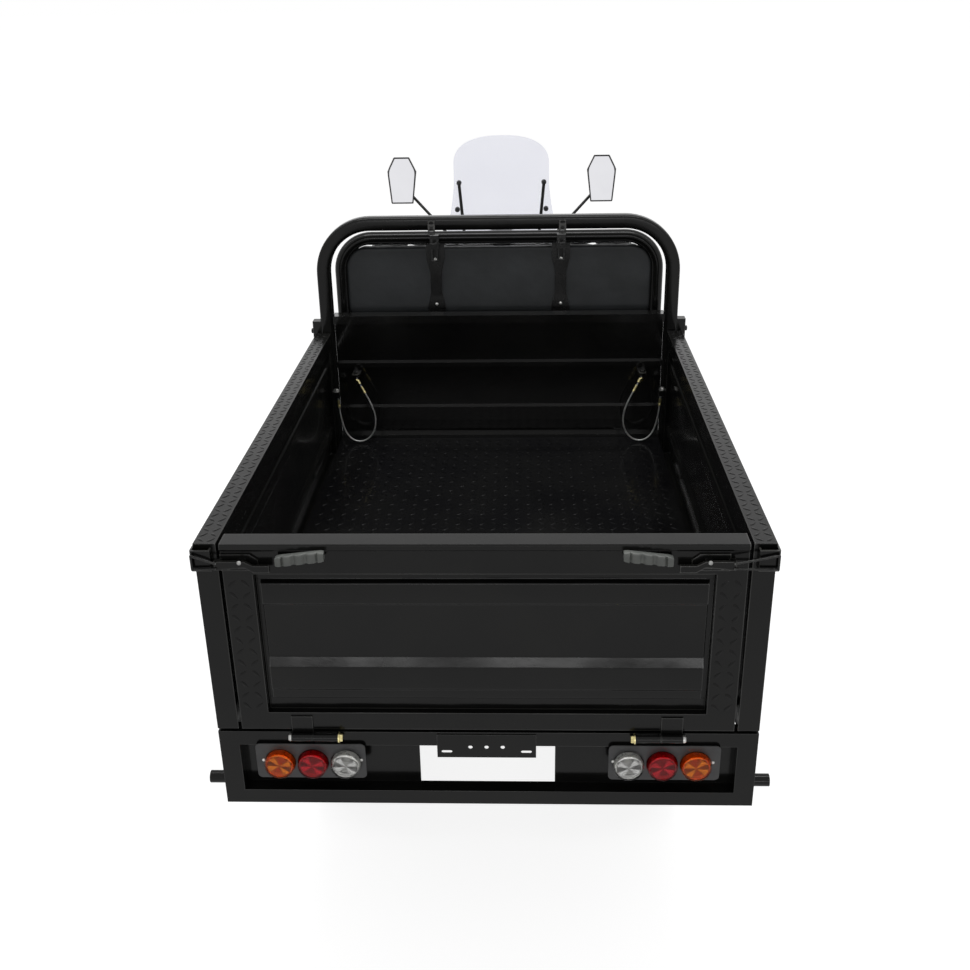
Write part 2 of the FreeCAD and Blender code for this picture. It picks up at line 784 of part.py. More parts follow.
def lamps():
    back = "tail_y - lamp_stand"
    plate_line = [("lamp_plate_near", "lamp_plate_foot"), ("lamp_plate_far", "lamp_plate_foot"),
                  ("lamp_plate_far", "lamp_plate_top"), ("lamp_plate_near", "lamp_plate_top")]
    plate = extrude("lamp_plate", "XZ", plate_line, "lamp_plate_sheet")
    round_edges(plate, "lamp_plate_round", plate_line, "lamp_plate_corner")
    place(plate, 0, back + " - lamp_plate_sheet / 2", 0)
    stands = []
    for name, x in (("near", ("lamp_plate_near + lamp_plate_corner", "hinge_near - lamp_stand")),
                    ("far", ("hinge_far + lamp_stand", "lamp_plate_far - lamp_plate_corner"))):
        stands.append(box("lamp_stand_" + name, x, (back, "tail_y"),
                          ("lamp_plate_top - 8", "lamp_plate_top - 3")))
    node(pair("lamp_plates_all", fuse("lamp_plate_half", [plate] + stands)), "lamp_plates")
    for i, colour in enumerate(("clear", "red", "amber")):
        where = "lens_middle + lens_pitch * %d" % (i - 1)
        wall = rod(colour + "_lens", (where, "tail_y - tail_reach + lens_rim", "lens_height"), "Y",
                   "lens_depth - lens_rim", "lens_radius")
        face = doc.addObject("Part::Cone", colour + "_lens_face")
        bind(face, Radius1="lens_radius - lens_rim", Radius2="lens_radius", Height="lens_rim")
        face.Placement.Rotation = FreeCAD.Rotation(FreeCAD.Vector(1, 0, 0), -90)
        place(face, where, "tail_y - tail_reach", "lens_height")
        node(pair(colour + "_lens_pair", fuse(colour + "_lens_whole", [wall, face])), colour + "_lenses")


def tailgate():
    half = "tail_half"
    back = "tail_y + tailgate_wall"
    rail_foot = "rim_height - top_rail"
    lip = "tail_y - lip_out"
    top_profile = [
        (back, rail_foot), (back, "rim_height"), (lip + " + lip_out / 2", "rim_height"),
        (lip, "rim_height - lip_out / 2"), (lip, "rim_height - lip_height + lip_out"),
        ("tail_y", "rim_height - lip_height"), ("tail_y", rail_foot),
    ]
    pieces = [
        extrude("gate_top_rail", "YZ", top_profile, "2 * tail_half"),
        box("gate_foot_rail", ("-" + half, half), ("tail_y", back), ("gate_foot", "gate_foot + foot_rail")),
    ]
    for side, sign in SIDES:
        pieces.append(box("gate_stile_" + side, span(sign, "tail_half - stile_width", half), ("tail_y", back),
                          ("gate_foot", rail_foot)))
        low, high = span(sign, "hinge_split", "hinge_far")
        leaf = box("moving_leaf_" + side, (low, high), ("tail_y - leaf_sheet", "tail_y"),
                   ("hinge_z", "gate_foot + leaf_height"))
        barrel = rod("moving_barrel_" + side, (low, "hinge_y", "hinge_z"), "X", "moving_knuckle",
                     "hinge_barrel")
        bore = rod("moving_bore_" + side, (low + " - 1", "hinge_y", "hinge_z"), "X", "moving_knuckle + 2",
                   "hinge_pin + bore_gap")
        pieces.append(cut("knuckle_" + side, fuse("knuckle_blank_" + side, [leaf, barrel]), bore))
    node(fuse("tailgate_frame_all", pieces), "tailgate_frame")

    band = "tail_y + band_depth"
    field = "tail_y + field_depth"
    slot = "tail_y + slot_depth"
    step = "tail_y + step_depth"
    inside = "tail_y + panel_back"
    foot = "gate_foot + foot_rail"
    under_slot = rail_foot + " - panel_slot"
    profile = [
        (inside, foot), (inside, rail_foot), (slot, rail_foot), (slot, under_slot),
        (band, under_slot + " - press_slope / 2"), (band, under_slot + " - upper_band"),
        (field, under_slot + " - upper_band - press_slope"), (field, foot + " + rib_head"),
        (band, foot + " + rib_crest"), (band, foot + " + lower_step"),
        (step, foot + " + lower_step - press_slope / 2"),
        (step, foot + " + lower_slot + press_slope / 2"), (slot, foot + " + lower_slot"), (slot, foot),
    ]
    node(extrude("tailgate_sheet", "YZ", profile, "2 * (tail_half - stile_width)"), "tailgate_panel")

    latches, grips = [], []
    for side, sign in SIDES:
        latch, grip = draw_latch(side, sign)
        latches.append(latch)
        grips.append(grip)
    node(fuse("latch_all", latches), "tailgate_latches")
    node(fuse("latch_grip_all", grips), "latch_grips")


def draw_latch(side, sign):
    """One toggle latch: riveted base, bent lever, two bails that reach the side gate, and a grip."""
    shift = " - latch_shift" if sign > 0 else " + latch_shift"
    base_near = "latch_base_near" + shift
    base_far = base_near + " + latch_base_length"
    nose = base_near + " + latch_nose"
    top = "rim_height - latch_base_top"
    foot = top + " - latch_base_height"
    middle = top + " - latch_base_height / 2"
    tip = "lever_near" + shift
    head = base_far + " + lever_head"

    def plate(name, points, sheet, y):
        """A plate with this outline, given for the right-hand side, and its rear face at y."""
        body = extrude(name, "XZ", [("%d * (%s)" % (sign, u), v) for u, v in points], sheet)
        return place(body, 0, "%s + %s / 2" % (y, sheet), 0)

    base_line = [
        (base_near, middle + " - latch_nose_half"), (base_near, middle + " + latch_nose_half"),
        (nose, top), (base_far, top), (base_far, foot), (nose, foot),
    ]
    lever_line = [
        (tip, foot + " + lever_end"), (tip, middle), (tip + " + lever_bend", middle),
        (nose + " + lever_head", middle + " + lever_head"), (head, middle + " + lever_head"),
        (head, middle + " - lever_head"), (nose + " + lever_head", middle + " - lever_end"),
        (tip + " + lever_bend", foot + " + lever_end"),
    ]
    pieces = [
        plate("latch_base_" + side, base_line, "latch_sheet", "tail_y - latch_sheet"),
        plate("latch_lever_" + side, lever_line, "lever_sheet", "tail_y - lever_out - lever_sheet"),
    ]
    for name, near, reach in (("post", nose + " + lever_head", "lever_out"),
                              ("yoke", head + " - latch_post", "lever_out + lever_sheet")):
        x = span(sign, near, near + " + latch_post")
        y = ("tail_y - (%s)" % reach, "tail_y - latch_sheet")
        z = (middle + " - lever_head", middle + " + lever_head")
        pieces.append(box("latch_%s_%s" % (name, side), x, y, z))
    for name, x in (("near", nose), ("far", base_far + " - latch_nose")):
        at = ("%d * (%s)" % (sign, x), "tail_y - latch_sheet - latch_rivet", foot + " + 2 * latch_rivet")
        pieces.append(rod("latch_rivet_%s_%s" % (name, side), at, "Y", "latch_rivet", "latch_rivet"))

    y = "tail_y - bail_out"
    keeper = "rim_height - keeper_drop - keeper_height / 2"
    reach = "%d * bail_reach" % sign
    for name, way in (("top", "+"), ("foot", "-")):
        start = ("%d * (%s - 2 * bail_wire)" % (sign, head), y, "%s %s 2 * bail_wire" % (middle, way))
        end = (reach, y, "%s %s bail_spread" % (keeper, way))
        pieces.append(strut("latch_bail_%s_%s" % (name, side), start, end, "bail_wire"))
        bend = doc.addObject("Part::Sphere", "latch_bend_%s_%s" % (name, side))
        bind(bend, Radius="bail_wire")
        pieces.append(place(bend, *end))
    pieces.append(rod("latch_bail_end_" + side, (reach, y, keeper + " - bail_spread"), "Z", "2 * bail_spread",
                      "bail_wire"))
    latch = fuse("latch_" + side, pieces)

    near = tip + " - grip_length"
    high = foot + " + grip_height + grip_lift"
    low = foot + " + grip_lift"
    grip_line = [
        (tip, foot), (tip, foot + " + grip_height"), (near + " + grip_chamfer", high),
        (near, high + " - grip_chamfer"), (near, low + " + grip_chamfer"), (near + " + grip_chamfer", low),
    ]
    blank = plate("latch_grip_blank_" + side, grip_line, "grip_thick", "tail_y - grip_out")
    hollow_y = "tail_y - grip_out + finger_sink - finger_radius"
    hollows = []
    for i in range(3):
        x = "%d * (%s + grip_length * %d / 4)" % (sign, near, i + 1)
        hollows.append(rod("grip_hollow_%s_%d" % (side, i), (x, hollow_y, foot), "Z",
                           "grip_height + grip_lift", "finger_radius"))
    grip = cut("latch_grip_" + side, blank, fuse("grip_hollows_" + side, hollows))
    return latch, grip


def side_gates():
    back = "tail_y"
    ahead = "tail_y + side_length"
    x = ("inner_x", "half_w")
    height = ("gate_foot", "rim_height")
    middle = "tail_y + side_length / 2"
    pieces = [
        box("side_top_rail", x, (back, ahead), ("rim_height - side_rail_height", "rim_height")),
        box("side_foot_rail", x, (back, ahead), ("gate_foot", "gate_foot + side_rail_height")),
        box("side_back_post", x, (back, "tail_y + gate_wall"), height),
        box("side_front_post", x, (ahead + " - gate_wall", ahead), height),
        box("side_mid_post", ("half_w - side_skin", "half_w"),
            (middle + " - gate_wall / 2", middle + " + gate_wall / 2"), height),
        box("latch_keeper", ("half_w - keeper_near", "half_w - keeper_far"),
            ("tail_y - keeper_out", "tail_y"),
            ("rim_height - keeper_drop - keeper_height", "rim_height - keeper_drop")),
        box("cable_lug_side", ("inner_x - lug_in", "inner_x"),
            (ahead + " - lug_behind", ahead + " - lug_behind + lug_depth"),
            ("rim_height - lug_drop - lug_height", "rim_height - lug_drop")),
    ]
    for i, where in enumerate(SIDE_HINGES):
        y = where + " + side_fixed + 2 * knuckle_gap"
        leaf = box("side_leaf_%d" % i, ("half_w", "side_hinge_x + side_barrel"), (y, y + " + side_moving"),
                   ("side_hinge_z", "gate_foot + side_leaf_rise"))
        barrel = rod("side_knuckle_barrel_%d" % i, ("side_hinge_x", y, "side_hinge_z"), "Y", "side_moving",
                     "side_barrel")
        bore = rod("side_knuckle_bore_%d" % i, ("side_hinge_x", y + " - 1", "side_hinge_z"), "Y",
                   "side_moving + 2", "hinge_pin + bore_gap")
        pieces.append(cut("side_knuckle_%d" % i, fuse("side_knuckle_blank_%d" % i, [leaf, barrel]), bore))
    frame = fuse("side_frame_right", pieces)
    node(frame, "side_gate_right_frame")
    node(mirror("side_frame_left", frame), "side_gate_left_frame")

    skin = "half_w - side_skin"
    deep = skin + " - side_panel_wall"
    shallow = skin + " - side_field"
    foot = "gate_foot + side_rail_height"
    top = "rim_height - side_rail_height"
    profile = [(skin, foot), (skin, top), (shallow, top)]
    for head in (top + " - side_rib_top", foot + " + side_rib_foot + side_rib"):
        profile += [(shallow, head), (deep, head + " - side_rib_slope"),
                    (deep, head + " - side_rib + side_rib_slope"), (shallow, head + " - side_rib")]
    profile.append((shallow, foot))
    panel = extrude("side_panel_sheet", "XZ", profile, "side_length - 2 * gate_wall")
    place(panel, 0, middle, 0)
    node(panel, "side_gate_right_panel")
    node(mirror("side_panel_left", panel), "side_gate_left_panel")


# Chassis, axle and seat
def chassis():
    x = ("chassis_rail_x - chassis_rail_width / 2", "chassis_rail_x + chassis_rail_width / 2")
    post_y = ("front_y - drop_post", "front_y")
    high = ("rail_foot_z", "rail_top_z")
    low = ("lower_rail_top - lower_rail_height", "lower_rail_top")
    spread = ("0", x[1])
    half = [
        box("main_rail", x, ("pivot_y", "front_y"), high),
        rod("rail_nose", (x[0], "pivot_y", "pivot_height"), "X", "chassis_rail_width",
            "chassis_rail_height / 2"),
        box("drop_post_bar", x, post_y, (low[0], high[1])),
        box("lower_rail", x, ("front_y - drop_post", "chassis_front"), low),
        box("cross_middle", spread, ("rear_axle_y + spring_half - 3 * cross_tube",
                                     "rear_axle_y + spring_half - 2 * cross_tube"), high),
        box("cross_front_high", spread, post_y, high),
        box("cross_low_back", spread, post_y, low),
        box("cross_low_front", spread, ("chassis_front - cross_tube", "chassis_front"), low),
        rod("pivot_tube", ("0", "pivot_y", "pivot_height"), "X",
            x[1] + " + running_gap + tip_lug_sheet + running_gap", "pivot_pin"),
        rod("pivot_sleeve", ("0", "pivot_y", "pivot_height"), "X", "chassis_rail_x", "2 * pivot_pin"),
    ]
    for i, where in enumerate(("rear_axle_y - spring_half", "rear_axle_y + spring_half")):
        half.append(box("spring_hanger_%d" % i,
                        ("chassis_rail_x - hanger_sheet / 2", "chassis_rail_x + hanger_sheet / 2"),
                        (where + " - hanger_half", where + " + hanger_half"),
                        ("eye_z + spring_eye", high[0])))
    side = fuse("chassis_half", half)
    tube_top = ("0", "head_y - head_grip * cos(rake) + head_behind * sin(rake)",
                "head_height - head_grip * sin(rake) - head_behind * cos(rake)")
    tube_foot = ("0", "chassis_front + down_tube_ahead", "lower_rail_top - lower_rail_height / 2")
    tube = strut("down_tube_bar", tube_foot, tube_top, "down_tube")
    head = on_rake(rod("head_tube_blank", ("0", "0", "0"), "Z", "head_length", "head_radius"))
    bore = on_rake(rod("head_tube_bore", ("0", "0", "0"), "Z", "head_length + head_spare",
                       "steerer_radius + bore_gap"))
    for piece, drop in ((head, "head_length / 2"), (bore, "(head_length + head_spare) / 2")):
        place(piece, 0, "head_y + (%s) * sin(rake)" % drop, "head_height - (%s) * cos(rake)" % drop)
    whole = fuse("chassis_solid", [side, mirror("chassis_other", side), tube, head])
    node(cut("chassis_all", whole, bore), "chassis_frame")

    far = "chassis_front - 2 * deck_sheet"
    near = far + " - deck_sheet"
    deck = box("footboard_sheet", ("-deck_width / 2", "deck_width / 2"), ("seat_box_front + deck_sheet",
                                                                          near),
               ("lower_rail_top", "lower_rail_top + deck_sheet"))
    node(deck, "footboard")

    foot = "lower_rail_top + seat_gap"
    top = "lower_rail_top + shield_rise"
    bend = "lower_rail_top + shield_bend"
    profile = [
        (far, foot), (far, bend + " - shield_ease"), (far + " - shield_step",
                                                      bend + " + shield_ease * 3 / 4"),
        (far + " - shield_lean", top), (near + " - shield_lean", top),
        (near + " + seat_gap - shield_step", bend + " + shield_ease * 3 / 4"),
        (near + " + seat_gap", bend + " - shield_ease"),
        (near + " + seat_gap", foot),
    ]
    bent = extrude("leg_shield_sheet", "YZ", profile, "shield_width")
    face = [("-shield_width / 2", foot), ("shield_width / 2", foot), ("shield_width / 2", bend),
            ("shield_top_width / 2", top), ("-shield_top_width / 2", top), ("-shield_width / 2", bend)]
    blank = extrude("leg_shield_outline", "XZ", face, "300")
    round_edges(blank, "leg_shield_round", [face[3], face[4]], "shield_corner")
    place(blank, 0, near, 0)
    node(common("leg_shield_all", bent, blank), "leg_shield")


def seat():
    y = ("seat_box_back", "seat_box_front")
    outer = box("seat_box_outer", ("-seat_box_half", "seat_box_half"), y, ("lower_rail_top", "seat_base"))
    hollow = box("seat_box_hollow", ("seat_sheet - seat_box_half", "seat_box_half - seat_sheet"),
                 ("seat_box_back + seat_sheet", "seat_box_front - seat_sheet"),
                 ("lower_rail_top - 1", "seat_base - seat_sheet"))
    node(cut("seat_box_shell", outer, hollow), "seat_box")
    node(box("battery_block", ("-battery_half", "battery_half"),
             ("seat_box_back + battery_gap", "seat_box_front - battery_gap"),
             ("lower_rail_top", "lower_rail_top + battery_height")), "battery_pack")
    top = "seat_base + cushion_height"
    soft = "cushion_height * 0.3"
    profile = [
        ("cushion_back", "seat_base"), ("cushion_back", "%s - %s" % (top, soft)),
        ("cushion_back + " + soft, top), ("cushion_front - 2 * " + soft, top),
        ("cushion_front", "%s - %s" % (top, soft)),
        ("cushion_front", "seat_base + %s / 2" % soft), ("cushion_front - %s / 2" % soft, "seat_base"),
    ]
    node(extrude("cushion_solid", "YZ", profile, "2 * cushion_half"), "seat_cushion")


def backrest():
    x = "backrest_half"
    y = "backrest_y"
    foot = "seat_base - backrest_drop"
    leg = rod("backrest_leg", (x, y, foot), "Z", "backrest_top - backrest_bend - (%s)" % foot,
              "backrest_tube")
    bar = rod("backrest_bar", ("0", y, "backrest_top"), "X", "backrest_half - backrest_bend", "backrest_tube")
    bend = doc.addObject("Part::Torus", "backrest_corner")
    bind(bend, Radius1="backrest_bend", Radius2="backrest_tube", Angle3="90")
    bend.Placement.Rotation = FreeCAD.Rotation(FreeCAD.Vector(1, 0, 0), 90)
    place(bend, "backrest_half - backrest_bend", y, "backrest_top - backrest_bend")
    cross = rod("backrest_cross", ("0", y, foot), "X", "backrest_half", "backrest_tube")
    upright = rod("backrest_upright", ("chassis_rail_x", y, "lower_rail_top"), "Z",
                  foot + " - lower_rail_top", "backrest_tube")
    knee = doc.addObject("Part::Sphere", "backrest_knee")
    bind(knee, Radius="backrest_tube")
    place(knee, x, y, foot)
    half = fuse("backrest_half_all", [leg, bar, bend, cross, upright, knee])
    node(pair("backrest_all", half), "backrest_frame")

    inner = "backrest_half - backrest_tube - 2"
    pad_back = "backrest_y - pad_behind"
    pad_y = (pad_back, pad_back + " + pad_depth")
    z = ("pad_foot", "pad_top")
    side_line = [("strap_x + pad_gap", z[0]), (inner, z[0]), (inner, z[1]), ("strap_x + pad_gap", z[1])]
    side_pad = extrude("side_pad", "XZ", side_line, "pad_depth")
    round_edges(side_pad, "side_pad_corner", [side_line[2]], "pad_corner")
    place(side_pad, 0, pad_back + " + pad_depth / 2", 0)
    middle_pad = box("middle_pad", ("pad_gap - strap_x", "strap_x - pad_gap"), pad_y, z)
    node(fuse("pads_all", [side_pad, mirror("side_pad_other", side_pad), middle_pad]), "backrest_pads")

    foot = "pad_foot - strap_below"
    top = "backrest_top - backrest_tube"
    wide = "strap_width / 2"
    slim = "strap_waist / 2"
    right = [(wide, foot), (wide, foot + " + strap_ease * 3 / 4"), (slim, foot + " + strap_ease * 7 / 4"),
             (slim, top + " - 2 * strap_ease"), (wide, top + " - strap_ease"), (wide, top)]
    line = [("strap_x + " + u, v) for u, v in right] + [("strap_x - " + u, v) for u, v in reversed(right)]
    strap = extrude("strap_sheet_piece", "XZ", line, "strap_sheet")
    round_edges(strap, "strap_waist_round", [line[i] for i in (2, 3, 8, 9)], "strap_width")
    place(strap, 0, pad_back + " - strap_sheet / 2", 0)
    back = "backrest_y - backrest_tube"
    wire_z = "backrest_top - draw_wire * 2"
    bail_foot = "backrest_top - bail_drop"
    bail_y = back + " - draw_depth + 2 * bail_rod"
    block = box("draw_latch_block", ("strap_x - draw_half", "strap_x + draw_half"),
                (back + " - draw_depth", back),
                ("backrest_top - draw_drop", "backrest_top - draw_drop + draw_height"))
    neck = box("draw_latch_neck", ("strap_x - neck_half", "strap_x + neck_half"),
               (back + " - neck_half", pad_back), (top + " - neck_height", top))
    parts = [strap, block, neck]
    for i, sign in enumerate((-1, 1)):
        at = "strap_x + %d * (draw_half - draw_wire - bail_rod)" % sign
        parts.append(rod("draw_latch_wire_%d" % i, (at, "front_y + catch_back", wire_z), "Y",
                         "backrest_ahead - backrest_tube - draw_depth - catch_back", "draw_wire"))
        parts.append(rod("draw_bail_%d" % i, ("strap_x + %d * bail_half" % sign, bail_y, bail_foot), "Z",
                         "bail_length", "bail_rod"))
    wire_end = ("strap_x - draw_half + bail_rod", "front_y + catch_back + draw_wire", wire_z)
    parts.append(rod("draw_latch_wire_end", wire_end, "X", "2 * (draw_half - bail_rod)", "draw_wire"))
    parts.append(rod("draw_bail_end", ("strap_x - bail_half - bail_rod", bail_y, bail_foot), "X",
                     "2 * (bail_half + bail_rod)", "bail_rod"))
    strap = fuse("strap_half", parts)
    node(pair("straps_all", strap), "backrest_straps")


def running_gear():
    drum_near = "rear_wheel_x - hub_half - running_gap"
    tube = rod("axle_tube_bar", ("0", "rear_axle_y", "tyre_radius"), "X", drum_near + " - drum_width + 4",
               "axle_tube")
    drum = rod("brake_drum", (drum_near + " - drum_width", "rear_axle_y", "tyre_radius"), "X", "drum_width",
               "drum_radius")
    stub = rod("stub_axle", ("0", "rear_axle_y", "tyre_radius"), "X",
               "rear_wheel_x + hub_half + nut_thick + 4", "axle_radius")
    nut = rod("axle_nut", ("rear_wheel_x + hub_half + 1", "rear_axle_y", "tyre_radius"), "X", "nut_thick",
              "axle_radius + nut_wide")
    gear = rod("gear_housing", ("0", "rear_axle_y", "tyre_radius"), "X", "gear_half", "gear_radius")
    motor = rod("motor_housing", ("0", "rear_axle_y + gear_radius - motor_sink", "tyre_radius + motor_rise"),
                "Y", "motor_length", "motor_radius")
    seat_pad = box("spring_seat", ("chassis_rail_x - spring_width / 2", "chassis_rail_x + spring_width / 2"),
                   ("rear_axle_y - spring_seat_half", "rear_axle_y + spring_seat_half"),
                   ("tyre_radius + spring_seat_foot", "tyre_radius + axle_tube + axle_pad"))
    half = fuse("rear_axle_half", [tube, drum, stub, nut, gear, motor, seat_pad])
    node(pair("rear_axle_all", half), "rear_axle")

    arc = "(spring_half ^ 2 + spring_camber ^ 2) / (2 * spring_camber)"
    base = "tyre_radius + axle_tube + axle_pad + spring_stack + " + arc
    start = ("chassis_rail_x - spring_width / 2", "rear_axle_y", base)
    leaves = []
    for i, share in enumerate((1, 0.72, 0.46)):
        inner = "%s + spring_stack * %d / 3" % (arc, i)
        outside = rod("leaf_outside_%d" % i, start, "X", "spring_width", inner + " + spring_stack / 3")
        inside = rod("leaf_inside_%d" % i, start, "X", "spring_width", inner)
        keep = box("leaf_keep_%d" % i, ("chassis_rail_x - spring_width", "chassis_rail_x + spring_width"),
                   ("rear_axle_y - spring_half * %s" % share, "rear_axle_y + spring_half * %s" % share),
                   ("tyre_radius", "rail_foot_z"))
        leaves.append(common("leaf_arc_%d" % i, cut("leaf_ring_%d" % i, outside, inside), keep))
    for i, where in enumerate(("rear_axle_y - spring_half", "rear_axle_y + spring_half")):
        leaves.append(rod("leaf_eye_%d" % i, ("chassis_rail_x - spring_width / 2", where, "eye_z"),
                          "X", "spring_width", "spring_eye"))
    node(pair("springs_all", fuse("spring_half_all", leaves)), "leaf_springs")


# The windscreen's rear face where its rods stand
SCREEN_BACK = ("screen_y - screen_bow"
               " + sqrt((screen_bow - screen_sheet) ^ 2 - (screen_half - screen_rod_in) ^ 2)")


# Steering
def fork():
    top = "head_length / 2"
    lower = "-head_length / 2 - crown_gap - crown"
    bridge = ("fork_offset - slider_radius - crown_side / 2", "fork_offset + slider_radius + crown_side")
    neck = ("0", "fork_offset")
    low = (lower, lower + " + crown")
    high = (top + " + crown_gap", top + " + crown_gap + crown * 0.8")
    slider_top = "slider_length - slider_below - axle_drop"
    gaiter = doc.addObject("Part::Cone", "fork_gaiter")
    bind(gaiter, Radius1="slider_radius + 2", Radius2="fork_tube + 2", Height="gaiter")
    place(gaiter, "fork_half", "fork_offset", slider_top)
    half = [
        box("lower_crown", ("0", "fork_half + slider_radius"), bridge, low),
        box("upper_crown", ("0", "fork_half + slider_radius"), bridge, high),
        box("lower_neck", ("0", "steerer_radius + neck_side"), neck, low),
        box("upper_neck", ("0", "steerer_radius + neck_side"), neck, high),
        rod("lower_neck_round", ("0", "0", low[0]), "Z", "crown", "head_radius"),
        rod("upper_neck_round", ("0", "0", high[0]), "Z", "crown * 0.8", "head_radius"),
        rod("fork_leg", ("fork_half", "fork_offset", slider_top), "Z",
            "%s + crown_gap + crown - (%s)" % (top, slider_top), "fork_tube"),
        rod("fork_slider", ("fork_half", "fork_offset", "-axle_drop - slider_below"), "Z", "slider_length",
            "slider_radius"),
        gaiter,
        rod("front_axle", ("0", "fork_offset", "-axle_drop"), "X", "fork_half", "axle_radius"),
        box("fender_bracket", ("tyre_half + fender_side", "fork_half - slider_radius + 3"),
            ("fork_offset - 10", "fork_offset + 10"),
            ("tyre_radius - axle_drop - 1", "tyre_radius + 12 - axle_drop")),
    ]
    side = fuse("fork_half_all", half)
    stem = rod("steerer", ("0", "0", lower), "Z", "head_length + 2 * crown_gap + 1.8 * crown",
               "steerer_radius")
    node(on_rake(fuse("fork_all", [side, mirror("fork_other", side), stem])), "fork")


def handlebar():
    riser_foot = "(head_length / 2 + crown_gap + crown * 0.8 + seat_gap)"
    riser = strut("bar_riser", ("0", "head_y - %s * sin(rake)" % riser_foot,
                                "head_height + %s * cos(rake)" % riser_foot),
                  ("0", "bar_y", "bar_height"), "riser")
    knee = ("bar_half", "bar_y", "bar_height")
    elbow = ("bar_half + bar_sweep", "bar_y - bar_sweep / 3", "bar_height + bar_lift")
    tip = ("bar_half + bar_tip", "bar_y - bar_back", "bar_height + bar_lift - bar_fall")
    middle = rod("bar_middle", ("0", "bar_y", "bar_height"), "X", "bar_half", "bar_radius")
    sweep = strut("bar_sweep_tube", knee, elbow, "bar_radius")
    end = strut("bar_end", elbow, tip, "bar_radius")
    joints = []
    for name, where in (("bar_knee", knee), ("bar_elbow", elbow)):
        ball = doc.addObject("Part::Sphere", name)
        bind(ball, Radius="bar_radius")
        joints.append(place(ball, *where))
    behind = "(mirror_depth / 2 + seat_gap)"
    ear_y = "mirror_y + mirror_depth / 2 + %s * cos(mirror_tilt) - stem_drop * sin(mirror_tilt)" % behind
    ear_z = "mirror_height - %s * sin(mirror_tilt) - stem_drop * cos(mirror_tilt)" % behind
    ear_foot = ("mirror_x - stem_in", ear_y, ear_z)
    stem_top, ear_top = [(ear_foot[0], ear_y + " + %s * cos(mirror_tilt)" % far,
                          ear_z + " - %s * sin(mirror_tilt)" % far) for far in ("stem_sink", "ear_length")]
    mirror_stem = strut("mirror_stem_rod", ("stem_x", "bar_y", "bar_height + bar_radius"), stem_top,
                        "mirror_stem")
    mirror_ear = strut("mirror_ear_disc", ear_foot, ear_top, "mirror_ear")
    rod_foot = ("screen_clamp_x + screen_clamp_length / 2", "bar_y + 6", "bar_height")
    rod_top = ("screen_half - screen_rod_in", SCREEN_BACK + " - screen_rod - seat_gap",
               "screen_top - screen_rod_drop")
    screen_rod = strut("screen_rod_bar", rod_foot, rod_top, "screen_rod")
    screen_foot = rod("screen_clamp", ("screen_clamp_x", "bar_y", "bar_height"), "X", "screen_clamp_length",
                      "bar_radius + 6")
    pieces = [middle, sweep, end, mirror_stem, mirror_ear, screen_rod, screen_foot]
    half = fuse("bar_half_all", pieces + joints)
    node(fuse("handlebar_all", [half, mirror("bar_other", half), riser]), "handlebar")

    along = [number(b) - number(a) for a, b in zip(elbow, tip)]
    share = number("grip_sleeve") / math.sqrt(sum(step * step for step in along))
    grip_from = tuple("(%s) * %f + (%s) * %f" % (a, share, b, 1 - share) for a, b in zip(elbow, tip))
    grip = strut("grip_blank", grip_from, tip, "grip_radius")
    hole = strut("grip_hole", elbow, tip, "bar_radius")
    node(pair("grips_all", cut("grip_sleeve_tube", grip, hole)), "hand_grips")


def fender():
    outer = "(tyre_half + fender_side)"
    inner = "(tyre_half + fender_side - fender_wall)"
    crest = "tyre_radius + fender_clear"
    skirt = "tyre_radius - fender_side_foot"
    shoulder = "tyre_radius + fender_side_top"
    outside = [(outer, skirt), (outer, shoulder), (outer + " - fender_round", crest)]
    inside = [(inner + " - fender_round + 1", crest + " - fender_wall"), (inner, shoulder + " - 1"),
              (inner, skirt)]
    half = outside + inside
    other = [("-(%s)" % u, v) for u, v in half]
    section = other[:3] + list(reversed(outside)) + list(reversed(inside)) + other[3:]
    arch = revolve("fender_arc", section, "142")
    arch.Placement.Rotation = FreeCAD.Rotation(FreeCAD.Vector(1, 0, 0), 22)
    place(arch, 0, "front_axle_y", "tyre_radius")
    node(arch, "front_fender")


def lamp_and_dial():
    r = "lamp_radius"
    middle = "head_height + lamp_rise"
    bowl_line = [
        ("0", "0"), ("0", r + " * 0.3"), ("lamp_depth * 0.1", r + " * 0.62"),
        ("lamp_depth * 0.35", r + " * 0.86"), ("lamp_depth * 0.7", r + " * 0.96"), ("lamp_depth * 0.8", r),
        ("lamp_depth", r), ("lamp_depth", "0"),
    ]
    bowl = revolve("lamp_bowl", bowl_line)
    bowl.Placement.Rotation = FreeCAD.Rotation(FreeCAD.Vector(0, 0, 1), 90)
    place(bowl, 0, "head_y + lamp_forward", middle)
    ear = box("lamp_ear", (r + " - 14", "fork_half"),
              ("lamp_seat_y", "head_y + lamp_forward + lamp_depth - 10"),
              (middle + " - 10", middle + " + 10"))
    node(fuse("headlamp_solid", [bowl, ear, mirror("lamp_ear_other", ear)]), "headlamp")

    dial = rod("dial_case", ("0", "bar_y + dial_radius / 2", "bar_height + bar_radius + 2"), "Z",
               "dial_height", "dial_radius")
    foot = box("dial_foot", ("-14", "14"), ("bar_y - 8", "bar_y + 8"),
               ("bar_height + bar_radius", "bar_height + bar_radius + 2"))
    node(fuse("instrument_all", [dial, foot]), "instrument")


def tilted_mirror(name, thing, ahead="0"):
    """Tip a piece back, set it the given distance ahead of the mirror's middle and mirror it."""
    thing.Placement.Rotation = FreeCAD.Rotation(FreeCAD.Vector(-1, 0, 0), number("mirror_tilt"))
    thing.setExpression(".Placement.Rotation.Angle", formula("mirror_tilt"))
    place(thing, "mirror_x", "mirror_y + mirror_depth / 2 + (%s) * cos(mirror_tilt)" % ahead,
          "mirror_height - (%s) * sin(mirror_tilt)" % ahead)
    return pair(name, thing)


